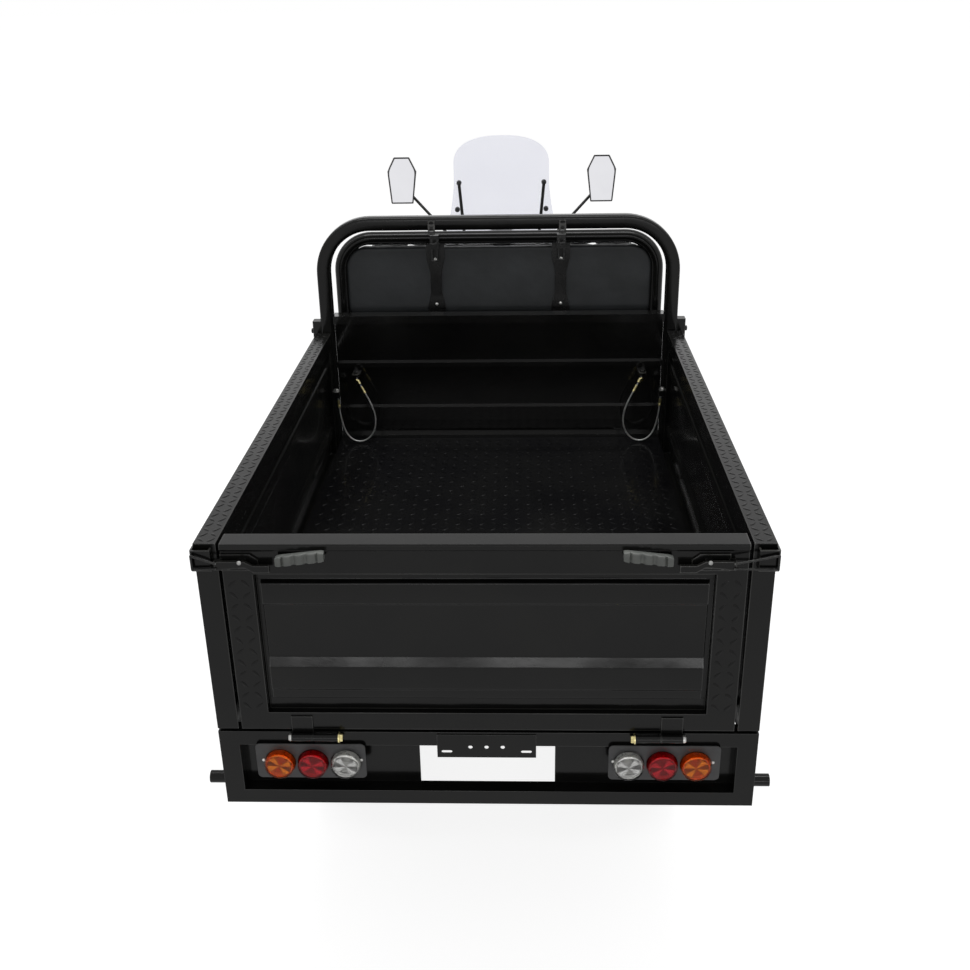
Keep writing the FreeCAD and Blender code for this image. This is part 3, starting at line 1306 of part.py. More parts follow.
def mirrors_and_screen():
    lines = []
    for inset in ("0", "mirror_lip", "mirror_crown"):
        right = [("mirror_wide * 0.26 - %s / 2" % inset, "mirror_tall / 2 - " + inset),
                 ("mirror_wide / 2 - " + inset, "mirror_tall * 0.196"),
                 ("mirror_wide * 0.37 - %s / 2" % inset, inset + " - mirror_tall / 2")]
        lines.append(right + [("-(%s)" % u, v) for u, v in reversed(right)])
    shell = extrude("mirror_shell", "XZ", lines[0], "mirror_depth * 0.7")
    place(shell, 0, "-0.15 * mirror_depth", 0)
    dome = extrude("mirror_dome", "XZ", lines[2], "mirror_depth * 0.3")
    place(dome, 0, "0.35 * mirror_depth", 0)
    recess = extrude("mirror_recess", "XZ", lines[1], "2 * (mirror_sheet + 0.5)")
    place(recess, 0, "-mirror_depth / 2", 0)
    case = fuse("mirror_case", [cut("mirror_tray", shell, recess), dome])
    node(tilted_mirror("mirror_frames_all", case), "mirror_frames")
    glass = extrude("mirror_pane", "XZ", lines[1], "mirror_sheet")
    node(tilted_mirror("mirror_glass_all", glass, "(mirror_sheet + 1 - mirror_depth) / 2"), "mirror_glass")

    right = [
        ("screen_half + screen_flare", "bar_height + screen_foot"),
        ("screen_half", "screen_top - screen_waist"), ("screen_half", "screen_top - screen_shoulder"),
        ("screen_half - screen_upper_in", "screen_top - screen_upper"),
        ("screen_half - screen_crest_in", "screen_top - screen_crest"), ("screen_tip", "screen_top"),
    ]
    face = right + [("-(%s)" % u, v) for u, v in reversed(right)]
    slab = extrude("screen_slab", "XZ", face, "200")
    place(slab, 0, "screen_y", 0)
    middle = ("0", "screen_y - screen_bow", "bar_height")
    outside = rod("screen_outside", middle, "Z", "screen_rise", "screen_bow")
    inside = rod("screen_inside", middle, "Z", "screen_rise", "screen_bow - screen_sheet")
    node(common("screen_shell", slab, cut("screen_curve", outside, inside)), "windshield")


def wheels():
    half = "rim_half"
    r = "rim_radius"
    web = "hub_radius + 6"
    skin = r + " - rim_skin"
    lip = r + " + flange_height"
    rim_line = [
        ("-hub_half", "axle_radius + bore_gap"), ("hub_half", "axle_radius + bore_gap"),
        ("hub_half", "hub_radius"), ("disc_half + 10", web), ("disc_half", r + " - disc_dish"),
        ("disc_half", r + " - disc_edge"), (half, skin), (half + " + flange", skin),
        (half + " + flange", lip), (half, lip), (half, r), ("-" + half, r),
        ("-" + half, lip), ("-" + half + " - flange", lip), ("-" + half + " - flange", skin),
        ("-" + half, skin),
        ("-disc_half", r + " - disc_edge"), ("-disc_half", r + " - disc_dish"), ("disc_half + 2", web),
        ("-hub_half", "hub_radius"),
    ]
    t = "tyre_radius"
    right = [(half, r), (half, r + " + bead"), ("tyre_half", t + " - sidewall_foot"),
             ("tyre_half", t + " - sidewall_top"), ("tyre_half - shoulder_in", t + " - shoulder_drop"),
             ("tyre_half - tread_in", t + " - tread_drop")]
    tyre_line = right + [("0", t)] + [("-(%s)" % u, v) for u, v in reversed(right)]
    for name, x, y in (("front", "0", "front_axle_y"), ("rear_left", "-rear_wheel_x", "rear_axle_y"),
                       ("rear_right", "rear_wheel_x", "rear_axle_y")):
        disc = revolve(name + "_rim_turned", rim_line)
        holes = []
        for i in range(6):
            angle = i * 60 + 30
            at = ("-rim_half", "disc_holes * cos(%d)" % angle, "disc_holes * sin(%d)" % angle)
            holes.append(rod("%s_hole_%d" % (name, i), at, "X", "2 * rim_half", "disc_hole"))
        rim = cut(name + "_rim_cut", disc, fuse(name + "_holes", holes))
        tyre = revolve(name + "_tyre_turned", tyre_line)
        for kind, piece in (("rim", rim), ("tyre", tyre)):
            place(piece, x, y, "tyre_radius")
            node(piece, "%s_%s" % (name, kind))


# Slack safety cables of the side gates
CABLE_RADIUS = 2.5
CABLE_ROUTE = [
    (385, -28, 803), (371, -30, 776), (356, -32, 746), (346, -34, 713), (347, -37, 680), (360, -40, 653),
    (382, -43, 639), (407, -45, 641), (427, -46, 660), (438, -46, 692), (444, -46, 733), (447, -44, 772),
]


def cable(name, sign):
    """A tube of straight runs and tangent arcs through the route's points."""
    points = [FreeCAD.Vector(sign * x, y, z) for x, y, z in CABLE_ROUTE]
    edges = []
    last = points[0]
    for before, corner, after in zip(points, points[1:], points[2:]):
        come = corner - before
        go = after - corner
        turn = come.getAngle(go)
        short = min(come.Length, go.Length)
        radius = 0.45 * short / math.tan(turn / 2)
        step = radius * math.tan(turn / 2)
        start = corner - FreeCAD.Vector(come).normalize() * step
        end = corner + FreeCAD.Vector(go).normalize() * step
        towards = (FreeCAD.Vector(go).normalize() - FreeCAD.Vector(come).normalize()).normalize()
        centre = corner + towards * (radius / math.cos(turn / 2))
        middle = centre - towards * radius
        edges.append(Part.LineSegment(last, start).toShape())
        edges.append(Part.Arc(start, middle, end).toShape())
        last = end
        print("%s bend radius %.1f mm" % (name, radius))
    edges.append(Part.LineSegment(last, points[-1]).toShape())
    path = Part.Wire(edges)
    ring = Part.Wire(Part.makeCircle(CABLE_RADIUS, points[0], points[1] - points[0]))
    tube = path.makePipeShell([ring], True, False)
    expected = math.pi * CABLE_RADIUS ** 2 * path.Length
    print("%s length %.1f mm, volume %.1f of %.1f" % (name, path.Length, tube.Volume, expected))
    feature = doc.addObject("Part::Feature", name + "_tube")
    feature.Shape = tube
    node(feature, name)


bed()
front_wall()
front_hoop()
tail_frame()
lamps()
tailgate()
side_gates()
chassis()
seat()
backrest()
running_gear()
fork()
handlebar()
fender()
lamp_and_dial()
mirrors_and_screen()
wheels()
cable("cable_left", -1)
cable("cable_right", 1)
doc.recompute()

for thing in doc.Objects:
    if "Invalid" in thing.State or "Error" in thing.State:
        raise RuntimeError("%s did not build: %s" % (thing.Name, thing.State))
for thing in NODES:
    if thing.Shape.isNull() or not thing.Shape.isValid() or not thing.Shape.Solids:
        raise RuntimeError("%s has no valid solid" % thing.Label)

os.makedirs("parts", exist_ok=True)
for thing in NODES:
    thing.Shape.exportStep("parts/%s.step" % thing.Label)
    reach = thing.Shape.BoundBox
    print("%-24s %2d solids %9.0f mm3  x %.1f %.1f  y %.1f %.1f  z %.1f %.1f" % (
        thing.Label, len(thing.Shape.Solids), thing.Shape.Volume,
        reach.XMin, reach.XMax, reach.YMin, reach.YMax, reach.ZMin, reach.ZMax))
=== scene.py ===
import math

import bmesh
import bpy
from mathutils import Matrix, Vector, noise


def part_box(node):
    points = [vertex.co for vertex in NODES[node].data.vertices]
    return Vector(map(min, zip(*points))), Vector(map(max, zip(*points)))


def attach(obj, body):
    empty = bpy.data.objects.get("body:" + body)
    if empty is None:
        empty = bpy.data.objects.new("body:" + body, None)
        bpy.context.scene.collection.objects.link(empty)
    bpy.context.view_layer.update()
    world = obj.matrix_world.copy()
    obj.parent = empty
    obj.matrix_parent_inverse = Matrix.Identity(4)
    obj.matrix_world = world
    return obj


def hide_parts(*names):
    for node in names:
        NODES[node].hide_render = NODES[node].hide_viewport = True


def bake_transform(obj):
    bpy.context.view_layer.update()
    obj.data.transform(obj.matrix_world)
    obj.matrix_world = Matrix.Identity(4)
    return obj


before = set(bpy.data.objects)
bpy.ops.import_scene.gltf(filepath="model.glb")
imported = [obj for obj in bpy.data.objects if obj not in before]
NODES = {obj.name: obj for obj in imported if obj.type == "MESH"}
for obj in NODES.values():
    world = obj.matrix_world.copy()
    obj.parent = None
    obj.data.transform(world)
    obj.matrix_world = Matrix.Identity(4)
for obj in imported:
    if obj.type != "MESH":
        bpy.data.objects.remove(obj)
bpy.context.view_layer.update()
X, Y, Z = Vector((1, 0, 0)), Vector((0, 1, 0)), Vector((0, 0, 1))

# Places read from the frame, in metres
TAIL_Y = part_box("lamp_plates")[1].y
HALF_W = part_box("side_gate_right_frame")[0].x + 0.06
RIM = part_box("tailgate_frame")[1].z
FRONT_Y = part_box("front_wall")[1].y
GATE_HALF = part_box("tailgate_frame")[1].x
PANEL_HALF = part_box("tailgate_panel")[1].x
FLOOR_LOW, FLOOR_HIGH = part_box("bed_floor")
GATE_FOOT = RIM - 0.386
TREAD_HEIGHT = 0.001
HOOP_HALF = 0.488
STRAP_X = 0.173
TIP = 0.0003
SIDES = (("left", -1), ("right", 1))

# Both latches sit this far left of mirrored places, as in the photograph
LATCH_SHIFT = 0.016


def add_object(name, data):
    thing = bpy.data.objects.new(name, data)
    bpy.context.scene.collection.objects.link(thing)
    return thing


# Camera
def add_camera():
    """Behind the tail and above it, where the photograph was taken from."""
    place = Vector((0.0727, -2.9757, 1.8174))
    yaw, pitch, roll = 0.0391, 0.4211, -0.0186
    level = Vector((-math.sin(yaw), math.cos(yaw), 0))
    across = Vector((math.cos(yaw), math.sin(yaw), 0))
    ahead = level * math.cos(pitch) - Z * math.sin(pitch)
    up = level * math.sin(pitch) + Z * math.cos(pitch)
    right = across * math.cos(roll) + up * math.sin(roll)
    top = up * math.cos(roll) - across * math.sin(roll)
    data = bpy.data.cameras.new("camera")
    data.lens = 41.64
    data.sensor_width = 36
    data.clip_end = 300
    camera = add_object("camera", data)
    turn = Matrix((right, top, -ahead)).transposed()
    camera.matrix_world = Matrix.Translation(place) @ turn.to_4x4()
    bpy.context.scene.camera = camera


add_camera()


# Mesh helpers
def loft(bm, rings, loop=False):
    """Skin a row of rings that have the same number of points, and close its ends or join them."""
    made = [[bm.verts.new(p) for p in ring] for ring in rings]
    pairs = list(zip(made, made[1:]))
    if loop:
        pairs.append((made[-1], made[0]))
    for near, far in pairs:
        for i in range(len(near)):
            j = (i + 1) % len(near)
            bm.faces.new((near[i], near[j], far[j], far[i]))
    if not loop:
        bm.faces.new(list(reversed(made[0])))
        bm.faces.new(made[-1])


def frames(points):
    """Two cross directions at each point of a path, carried along without twist."""
    last = len(points) - 1
    steps = [(points[min(i + 1, last)] - points[max(i - 1, 0)]).normalized() for i in range(last + 1)]
    side = steps[0].orthogonal().normalized()
    result = []
    for step in steps:
        side = (side - step * side.dot(step)).normalized()
        result.append((side, step.cross(side)))
    return result


def tube(bm, points, radius, sides=10, lobes=0, twist=0.0):
    """A round tube along points; lobes and twist, in radians a metre, make it a wire rope."""
    points = [Vector(p) for p in points]
    groove = 0.12
    rings, run = [], 0.0
    for i, (point, (side, other)) in enumerate(zip(points, frames(points))):
        run += (point - points[i - 1]).length if i else 0
        ring = []
        for k in range(sides):
            angle = math.tau * k / sides
            reach = radius
            if lobes:
                reach *= 1 - groove + groove * abs(math.cos(lobes / 2 * (angle - twist * run)))
            ring.append(point + side * reach * math.cos(angle) + other * reach * math.sin(angle))
        rings.append(ring)
    loft(bm, rings)


def lathe(bm, profile, at, axis, sides=32, loop=False):
    """Turn (along, radius) points about an axis through a point; a loop closes on itself."""
    axis = Vector(axis).normalized()
    side = axis.orthogonal().normalized()
    other = axis.cross(side)
    rings = []
    for along, radius in profile:
        ring = []
        for k in range(sides):
            angle = math.tau * k / sides
            ray = side * math.cos(angle) + other * math.sin(angle)
            ring.append(Vector(at) + axis * along + ray * radius)
        rings.append(ring)
    loft(bm, rings, loop)


def sweep(bm, points, outline, side):
    """Carry an outline of (across, out) points along a flat path; side is square to the path's plane."""
    points, side = [Vector(p) for p in points], Vector(side)
    rings = []
    for i, point in enumerate(points):
        step = (points[min(i + 1, len(points) - 1)] - points[max(i - 1, 0)]).normalized()
        out = side.cross(step)
        rings.append([point + side * u + out * v for u, v in outline])
    loft(bm, rings)


def prism(bm, points, depth):
    """A closed outline of 3D points pushed along a vector."""
    points = [Vector(p) for p in points]
    loft(bm, [points, [p + Vector(depth) for p in points]])


def block(bm, low, high):
    (x0, y0, z0), (x1, y1, z1) = low, high
    prism(bm, [(x0, y0, z0), (x1, y0, z0), (x1, y0, z1), (x0, y0, z1)], (0, y1 - y0, 0))


def rounded(low, high, radii, steps=6):
    """A rectangle's outline with a radius for each corner, from the high corner anticlockwise."""
    (u0, v0), (u1, v1) = low, high
    points = []
    for i, (u, v, r) in enumerate(zip((u1, u0, u0, u1), (v1, v1, v0, v0), radii)):
        middle = (u - r if u == u1 else u + r, v - r if v == v1 else v + r)
        for k in range(steps + 1):
            angle = math.pi / 2 * (i + k / steps)
            points.append((middle[0] + r * math.cos(angle), middle[1] + r * math.sin(angle)))
    return points


def grow(outline, amount):
    """Move a closed outline of (u, v) points outwards by that amount."""
    count = len(outline)
    result = []
    for i, (u, v) in enumerate(outline):
        before, after = outline[i - 1], outline[(i + 1) % count]
        step = Vector((after[0] - before[0], after[1] - before[1])).normalized()
        result.append((u + step.y * amount, v - step.x * amount))
    return result


def eased(line, radius, closed=False, steps=4):
    """Round a line's corners, each between points up to that far along its two sides."""
    points = [Vector(p) for p in line]
    count = len(points)
    result = []
    for i, corner in enumerate(points):
        if not closed and i in (0, count - 1):
            result.append(corner)
            continue
        before, after = points[i - 1] - corner, points[(i + 1) % count] - corner
        start = corner + before.normalized() * min(radius, before.length * 0.45)
        end = corner + after.normalized() * min(radius, after.length * 0.45)
        for k in range(steps + 1):
            t = k / steps
            result.append(start * (1 - t) ** 2 + corner * 2 * t * (1 - t) + end * t ** 2)
    return result


def hex_bolt(bm, at, axis, across, height):
    """A hexagon head on a washer."""
    lathe(bm, [(-0.001, across * 0.8), (0.0012, across * 0.8), (0.0014, across * 0.72)], at, axis, 20)
    r = across / 2 / math.cos(math.pi / 6)
    lathe(bm, [(0.001, r), (height * 0.8, r), (height, r * 0.86)], at, axis, 6)


def dome_screw(bm, at, axis, radius, height):
    profile = [(-0.001, radius)]
    for k in range(5):
        angle = math.pi / 2 * k / 4.4
        profile.append((height * math.sin(angle), radius * math.cos(angle)))
    lathe(bm, profile, at, axis, 16)


def lozenge(bm, at, normal, along, length, width, height):
    """A raised tear shape of tread sheet, with a blunt end and a long one."""
    along = along.normalized()
    across = normal.cross(along)
    line = [(-0.5, 0), (-0.36, 0.42), (0.0, 0.5), (0.5, 0), (0.0, -0.5), (-0.36, -0.42)]
    rings = []
    for share, rise in ((1.0, -0.2), (0.92, 0.45), (0.45, 1.0)):
        rings.append([at + along * u * length * share + across * v * width * share + normal * rise * height
                      for u, v in line])
    loft(bm, rings)


def tread(bm, corner, u, v, size, normal, pitch=0.025):
    """Fill a rectangle with tear shapes that lean left and right by turns."""
    columns, rows = [max(1, round(reach / pitch)) for reach in size]
    for i in range(columns):
        for j in range(rows):
            at = corner + u * size[0] * (i + 0.5) / columns + v * size[1] * (j + 0.5) / rows
            lean = u + v if (i + j) % 2 else u - v
            lozenge(bm, at, normal, lean, pitch * 0.88, pitch * 0.27, TREAD_HEIGHT)


def new_piece(name, bm, body, material, smooth=True, replaces=()):
    """Close a mesh into an object that rides on a body."""
    bmesh.ops.recalc_face_normals(bm, faces=bm.faces)
    mesh = bpy.data.meshes.new(name)
    bm.to_mesh(mesh)
    bm.free()
    mesh.materials.append(material)
    thing = add_object(name, mesh)
    for polygon in mesh.polygons:
        polygon.use_smooth = smooth
    if smooth:
        mesh.set_sharp_from_angle(angle=math.radians(38))
    if body:
        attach(thing, body)
    if replaces:
        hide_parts(*replaces)
    return thing


def bevel(thing, width):
    """Round a plain piece's sharp edges."""
    edge = thing.modifiers.new("edge", "BEVEL")
    edge.width = width
    edge.segments = 3
    edge.limit_method = "ANGLE"
    return thing


def on_body(name, body, material, draw, replaces=(), smooth=True):
    """A piece whose mesh a function draws."""
    bm = bmesh.new()
    draw(bm)
    return new_piece(name, bm, body, material, smooth, replaces)


# Materials
def shader(name):
    material = bpy.data.materials.new(name)
    material.use_nodes = True
    nodes = material.node_tree.nodes
    return material, nodes, material.node_tree.links, nodes["Principled BSDF"]


def put(node, values):
    for name, value in values.items():
        node.inputs[name].default_value = value


def math_node(nodes, links, operation, first, second):
    """Work on a socket with another socket or a number."""
    node = nodes.new("ShaderNodeMath")
    node.operation = operation
    links.new(first, node.inputs[0])
    if isinstance(second, float):
        node.inputs[1].default_value = second
    else:
        links.new(second, node.inputs[1])
    return node.outputs[0]


def noise_node(nodes, links, scale, detail=4.0, rough=0.5):
    """Noise in the frame's own metres; scale is in bumps a metre."""
    where = nodes.new("ShaderNodeTexCoord")
    field = nodes.new("ShaderNodeTexNoise")
    put(field, {"Scale": scale, "Detail": detail, "Roughness": rough})
    links.new(where.outputs["Object"], field.inputs["Vector"])
    return field


def ramp_node(nodes, links, source, low, high):
    """Spread a 0 to 1 field between two grey levels or colours."""
    mix = nodes.new("ShaderNodeValToRGB")
    for element, value in zip(mix.color_ramp.elements, (low, high)):
        element.color = (*value, 1) if isinstance(value, tuple) else (value, value, value, 1)
    mix.color_ramp.elements[0].position = 0.3
    mix.color_ramp.elements[1].position = 0.7
    links.new(source, mix.inputs["Fac"])
    return mix


def bump_node(nodes, links, height, strength, distance, below=None):
    bump = nodes.new("ShaderNodeBump")
    put(bump, {"Strength": strength, "Distance": distance})
    links.new(height, bump.inputs["Height"])
    if below is not None:
        links.new(below.outputs["Normal"], bump.inputs["Normal"])
    return bump


def edge_highlight_mask(nodes, links, reach):
    """How strongly a painted highlight shows: near an outer edge, broken up along the edge's length."""
    inside = nodes.new("ShaderNodeAmbientOcclusion")
    inside.inside = True
    inside.only_local = True
    inside.samples = 8
    inside.inputs["Distance"].default_value = reach
    near = nodes.new("ShaderNodeMapRange")
    put(near, {"From Min": 0.85, "From Max": 0.45})
    links.new(inside.outputs["AO"], near.inputs["Value"])
    broken = ramp_node(nodes, links, noise_node(nodes, links, 5.0, 5).outputs["Fac"], 0.25, 1.0)
    return math_node(nodes, links, "MULTIPLY", near.outputs["Result"], broken.outputs["Color"])


def paint_edge_highlights(nodes, links, base, tint, level, reach=0.003):
    """Paint highlights on the outer edges of a finish: a paler colour there, and a stronger shine."""
    highlight_mask = edge_highlight_mask(nodes, links, reach)
    # Painted highlight: the base colour is mixed towards the paler tint near outer edges
    mix = nodes.new("ShaderNodeMix")
    mix.data_type = "RGBA"
    links.new(highlight_mask, mix.inputs["Factor"])
    links.new(base.inputs["Base Color"].links[0].from_socket, mix.inputs[6])
    mix.inputs[7].default_value = (*tint, 1)
    links.new(mix.outputs[2], base.inputs["Base Color"])
    shine = nodes.new("ShaderNodeMapRange")
    put(shine, {"To Min": base.inputs["Specular IOR Level"].default_value, "To Max": level})
    links.new(highlight_mask, shine.inputs["Value"])
    links.new(shine.outputs["Result"], base.inputs["Specular IOR Level"])


def coloured(name, dark, light, rough, grain=30.0, bump=(120.0, 0.15, 0.0006), metal=0.0, level=0.5,
             coat=0.0, fine=None, edges=None):
    """A finish whose colour and roughness vary; each bump is its (scale, strength, distance); edges paints
    highlights on its outer edges.
    """
    material, nodes, links, base = shader(name)
    tint = ramp_node(nodes, links, noise_node(nodes, links, grain).outputs["Fac"], dark, light)
    links.new(tint.outputs["Color"], base.inputs["Base Color"])
    patches = noise_node(nodes, links, grain * 0.37, 6, 0.6)
    dull = ramp_node(nodes, links, patches.outputs["Fac"], *rough)
    links.new(dull.outputs["Color"], base.inputs["Roughness"])
    relief = bump_node(nodes, links, noise_node(nodes, links, bump[0], 3).outputs["Fac"], *bump[1:])
    if fine:
        cells = noise_node(nodes, links, fine[0], 2)
        relief = bump_node(nodes, links, cells.outputs["Fac"], *fine[1:], relief)
    links.new(relief.outputs["Normal"], base.inputs["Normal"])
    put(base, {"Metallic": metal, "Specular IOR Level": level, "Coat Weight": coat, "Coat Roughness": 0.06})
    # Painted highlight: a paler colour and a stronger shine along outer edges, when edges is given
    if edges:
        paint_edge_highlights(nodes, links, base, *edges)
    return material


def lens_material(name, colour, clear=0.955):
    material, nodes, links, base = shader(name)
    dusk = tuple(0.82 * c for c in colour)
    tint = ramp_node(nodes, links, noise_node(nodes, links, 240).outputs["Fac"], dusk, colour)
    links.new(tint.outputs["Color"], base.inputs["Base Color"])
    put(base, {"Roughness": 0.02, "Transmission Weight": clear, "IOR": 1.26})
    return material


BLACKS = (0.0035, (0.006, 0.006, 0.0055))
WAVES = (26.0, 0.22, 0.0012)
PAINT_GRAIN = (420.0, 0.12, 0.0003)
# Both gloss paints carry painted highlights: their edges tint is a paler colour painted along outer edges
PAINT = coloured("black_gloss_paint", *BLACKS, (0.10, 0.26), 9.0, WAVES, level=0.13, coat=0.08,
                 fine=PAINT_GRAIN, edges=((0.055, 0.055, 0.05), 0.6))
SHEET_PAINT = coloured("black_sheet_paint", *BLACKS, (0.10, 0.26), 9.0, WAVES, level=0.13, coat=0.08,
                       fine=PAINT_GRAIN, edges=((0.09, 0.09, 0.085), 0.8, 0.0013))
INNER_PAINT = coloured("black_inner_paint", *BLACKS, (0.08, 0.22), 9.0, (22.0, 0.3, 0.0016), level=0.55,
                       coat=0.3, fine=PAINT_GRAIN)
EMBOSSED = coloured("embossed_gloss_paint", *BLACKS, (0.12, 0.3), 9.0, WAVES, level=0.11, coat=0.06)
FLOOR_PAINT = coloured("black_floor_paint", (0.0025, 0.0025, 0.003), 0.005, (0.12, 0.34), 7.0,
                       (18.0, 0.25, 0.0016), level=0.08, coat=0.06, fine=(380.0, 0.12, 0.0004))
FRAME_PAINT = coloured("satin_frame_paint", (0.0045, 0.0045, 0.005), 0.008, (0.3, 0.45), 12.0,
                       (60.0, 0.2, 0.0008), level=0.14, fine=(500.0, 0.2, 0.0003))
BATTERY = coloured("battery_case", (0.012, 0.012, 0.014), (0.02, 0.02, 0.022), (0.45, 0.6), 20.0, level=0.4)
VINYL = coloured("dark_grey_vinyl", (0.014, 0.0155, 0.0165), (0.023, 0.025, 0.027), (0.45, 0.62), 11.0,
                 (24.0, 0.38, 0.003), level=0.3, fine=(700.0, 0.45, 0.0004))
GRIP_GREY = coloured("ribbed_grey_grip", (0.075, 0.08, 0.075), (0.105, 0.11, 0.102), (0.4, 0.55), 60.0,
                     level=0.4)
RUBBER = coloured("black_rubber", 0.012, 0.022, (0.6, 0.8), 50.0, level=0.3)
TYRE = coloured("tyre_rubber", 0.014, (0.028, 0.027, 0.026), (0.6, 0.85), 22.0, (300.0, 0.3, 0.0005),
                level=0.3)
RIM_PAINT = coloured("satin_rim_paint", (0.012, 0.012, 0.013), (0.02, 0.02, 0.021), (0.3, 0.45), 16.0,
                     level=0.4)
ZINC = coloured("zinc_plate", (0.34, 0.34, 0.33), (0.5, 0.5, 0.48), (0.25, 0.45), 90.0, metal=1.0)
BRASS = coloured("yellow_zinc", (0.52, 0.44, 0.2), (0.72, 0.65, 0.36), (0.22, 0.4), 110.0, metal=1.0)
STEEL = coloured("wire_steel", (0.24, 0.24, 0.235), (0.36, 0.36, 0.35), (0.3, 0.5), 130.0, metal=0.6)
PLASTIC = coloured("dark_plastic", (0.02, 0.02, 0.021), (0.035, 0.035, 0.036), (0.35, 0.5), 40.0,
                   (260.0, 0.2, 0.0004), level=0.4)
CAST = coloured("cast_alloy", 0.2, (0.32, 0.32, 0.31), (0.45, 0.65), 45.0, (200.0, 0.5, 0.001), metal=0.85)
SPRING = coloured("spring_steel_paint", 0.012, (0.024, 0.023, 0.022), (0.4, 0.6), 35.0, level=0.35)
STRAP = coloured("black_strap_paint", 0.005, 0.009, (0.2, 0.32), 20.0, level=0.35, coat=0.1)
AMBER = lens_material("amber_lens", (1.0, 0.26, 0.01))
RED = lens_material("red_lens", (0.72, 0.015, 0.03))
CLEAR = lens_material("clear_lens", (0.93, 0.93, 0.91), 0.985)
REFLECTOR = coloured("lamp_reflector", 0.5, (0.68, 0.68, 0.66), (0.2, 0.35), 150.0, metal=0.6)
LAMP_CUP = coloured("lamp_cup", 0.006, (0.03, 0.03, 0.029), (0.2, 0.4), 150.0, level=0.2)
CHROME = coloured("chrome_plate", 0.62, 0.75, (0.04, 0.12), 60.0, metal=1.0)
MIRROR = coloured("mirror_silver", (0.76, 0.76, 0.79), (0.80, 0.80, 0.83), (0.01, 0.03), 12.0,
                  (8.0, 0.02, 0.0002), metal=1.0)


def screen_material():
    """Thin clear acrylic with a faint cool tint."""
    material, nodes, links, base = shader("clear_acrylic")
    field = noise_node(nodes, links, 6)
    tint = ramp_node(nodes, links, field.outputs["Fac"], (0.80, 0.805, 0.86), (0.825, 0.83, 0.88))
    links.new(tint.outputs["Color"], base.inputs["Base Color"])
    put(base, {"Roughness": 0.03, "Transmission Weight": 0.95, "IOR": 1.1})
    return material


SCREEN = screen_material()


# Nodes that keep their CAD shape: a real finish, and the width of their softened edges
KEPT = [
    (PAINT, {"tailgate_frame": 0.002, "side_gate_left_frame": 0.002, "side_gate_right_frame": 0.002,
             "backrest_frame": 0.001, "handlebar": 0.001, "tailgate_latches": 0.001}),
    (SHEET_PAINT, {"tail_frame": 0.0015, "side_gate_left_panel": 0.003, "side_gate_right_panel": 0.003,
                   "seat_box": 0.001, "leg_shield": 0.001, "front_fender": 0.0008}),
    (INNER_PAINT, {"front_wall": 0.002}),
    (FLOOR_PAINT, {"bed_floor": 0.0008, "footboard": 0.001}),
    (FRAME_PAINT, {"bed_subframe": 0.0015, "chassis_frame": 0.003, "fork": 0.002}),
    (RIM_PAINT, {"front_rim": 0.001, "rear_left_rim": 0.001, "rear_right_rim": 0.001}),
    (PLASTIC, {"lamp_plates": 0.001, "instrument": 0.003, "mirror_frames": 0.001, "headlamp": 0.003}),
    (MIRROR, {"mirror_glass": 0.0}),
    (BATTERY, {"battery_pack": 0.004}),
    (CAST, {"rear_axle": 0.003}),
    (SPRING, {"leaf_springs": 0.001}),
    (STRAP, {"backrest_straps": 0.001}),
    (RUBBER, {"hand_grips": 0.002}),
]


def soften(thing, width):
    """Round the sharp edges of a carried node with modifiers only."""
    join = thing.modifiers.new("weld", "WELD")
    join.merge_threshold = 0.00002
    flat = thing.modifiers.new("flat", "DECIMATE")
    flat.decimate_type = "DISSOLVE"
    flat.angle_limit = math.radians(0.4)
    if width:
        edge = thing.modifiers.new("edge", "BEVEL")
        edge.width = width
        edge.segments = 2
        edge.limit_method = "ANGLE"
        edge.angle_limit = math.radians(32)
        edge.use_clamp_overlap = True
    shade = thing.modifiers.new("normals", "WEIGHTED_NORMAL")
    shade.keep_sharp = False


for finish, widths in KEPT:
    for name, width in widths.items():
        NODES[name].material_slots[0].material = finish
        soften(NODES[name], width)


# Headboard hoop
def hoop():
    """A square tube with round edges, bent over the front wall, with its clamps and catches."""
    half, bend = 0.018, 0.150
    y = FRONT_Y - half
    low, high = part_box("front_hoop")
    x = HOOP_HALF - half
    top = high.z - half
    radius = bend - half
    path = [(x, y, low.z)]
    for k in range(17):
        angle = math.pi / 2 * k / 16
        path.append((x - radius + radius * math.cos(angle), y, top - radius + radius * math.sin(angle)))
    path += [(-px, py, pz) for px, py, pz in reversed(path)]
    clamp, clamp_edge = 0.022, 0.004
    rail, rail_radius = 0.0075, 0.0022
    rung_pitch, rung_radius = 0.011, 0.002
    face = y - half
    ladder = face - 0.002

    def draw(bm):
        sweep(bm, path, rounded((-half, -half), (half, half), [0.008] * 4, 5), Y)
        for sign in (-1, 1):
            near, far = sign * HOOP_HALF, sign * (HOOP_HALF + clamp)
            block(bm, (near, face + clamp_edge, RIM - 0.042), (far, y + half - clamp_edge, RIM + 0.030))
            lathe(bm, [(0, 0.007), (0.006, 0.007), (0.007, 0.005)], (far, y, RIM), X * sign, 16)
            at, catch = sign * STRAP_X, 0.009
            for place in (at - rail, at + rail):
                tube(bm, [(place, ladder, high.z - 0.010), (place, ladder, high.z - 0.046)], rail_radius, 8)
            for rung in range(4):
                z = high.z - 0.012 - rung * rung_pitch
                tube(bm, [(at - rail, ladder, z), (at + rail, ladder, z)], rung_radius, 8)
            block(bm, (at - catch, face - 0.0035, high.z - 0.030), (at + catch, face, high.z - 0.018))

    on_body("hoop_tube", "bed", PAINT, draw, ["front_hoop"])


hoop()


# Rear lamps
LENS_X = {"amber": 0.387, "red": 0.325, "clear": 0.263}
LENS_SPREAD = 1.05
LENS_RISE = 0.005


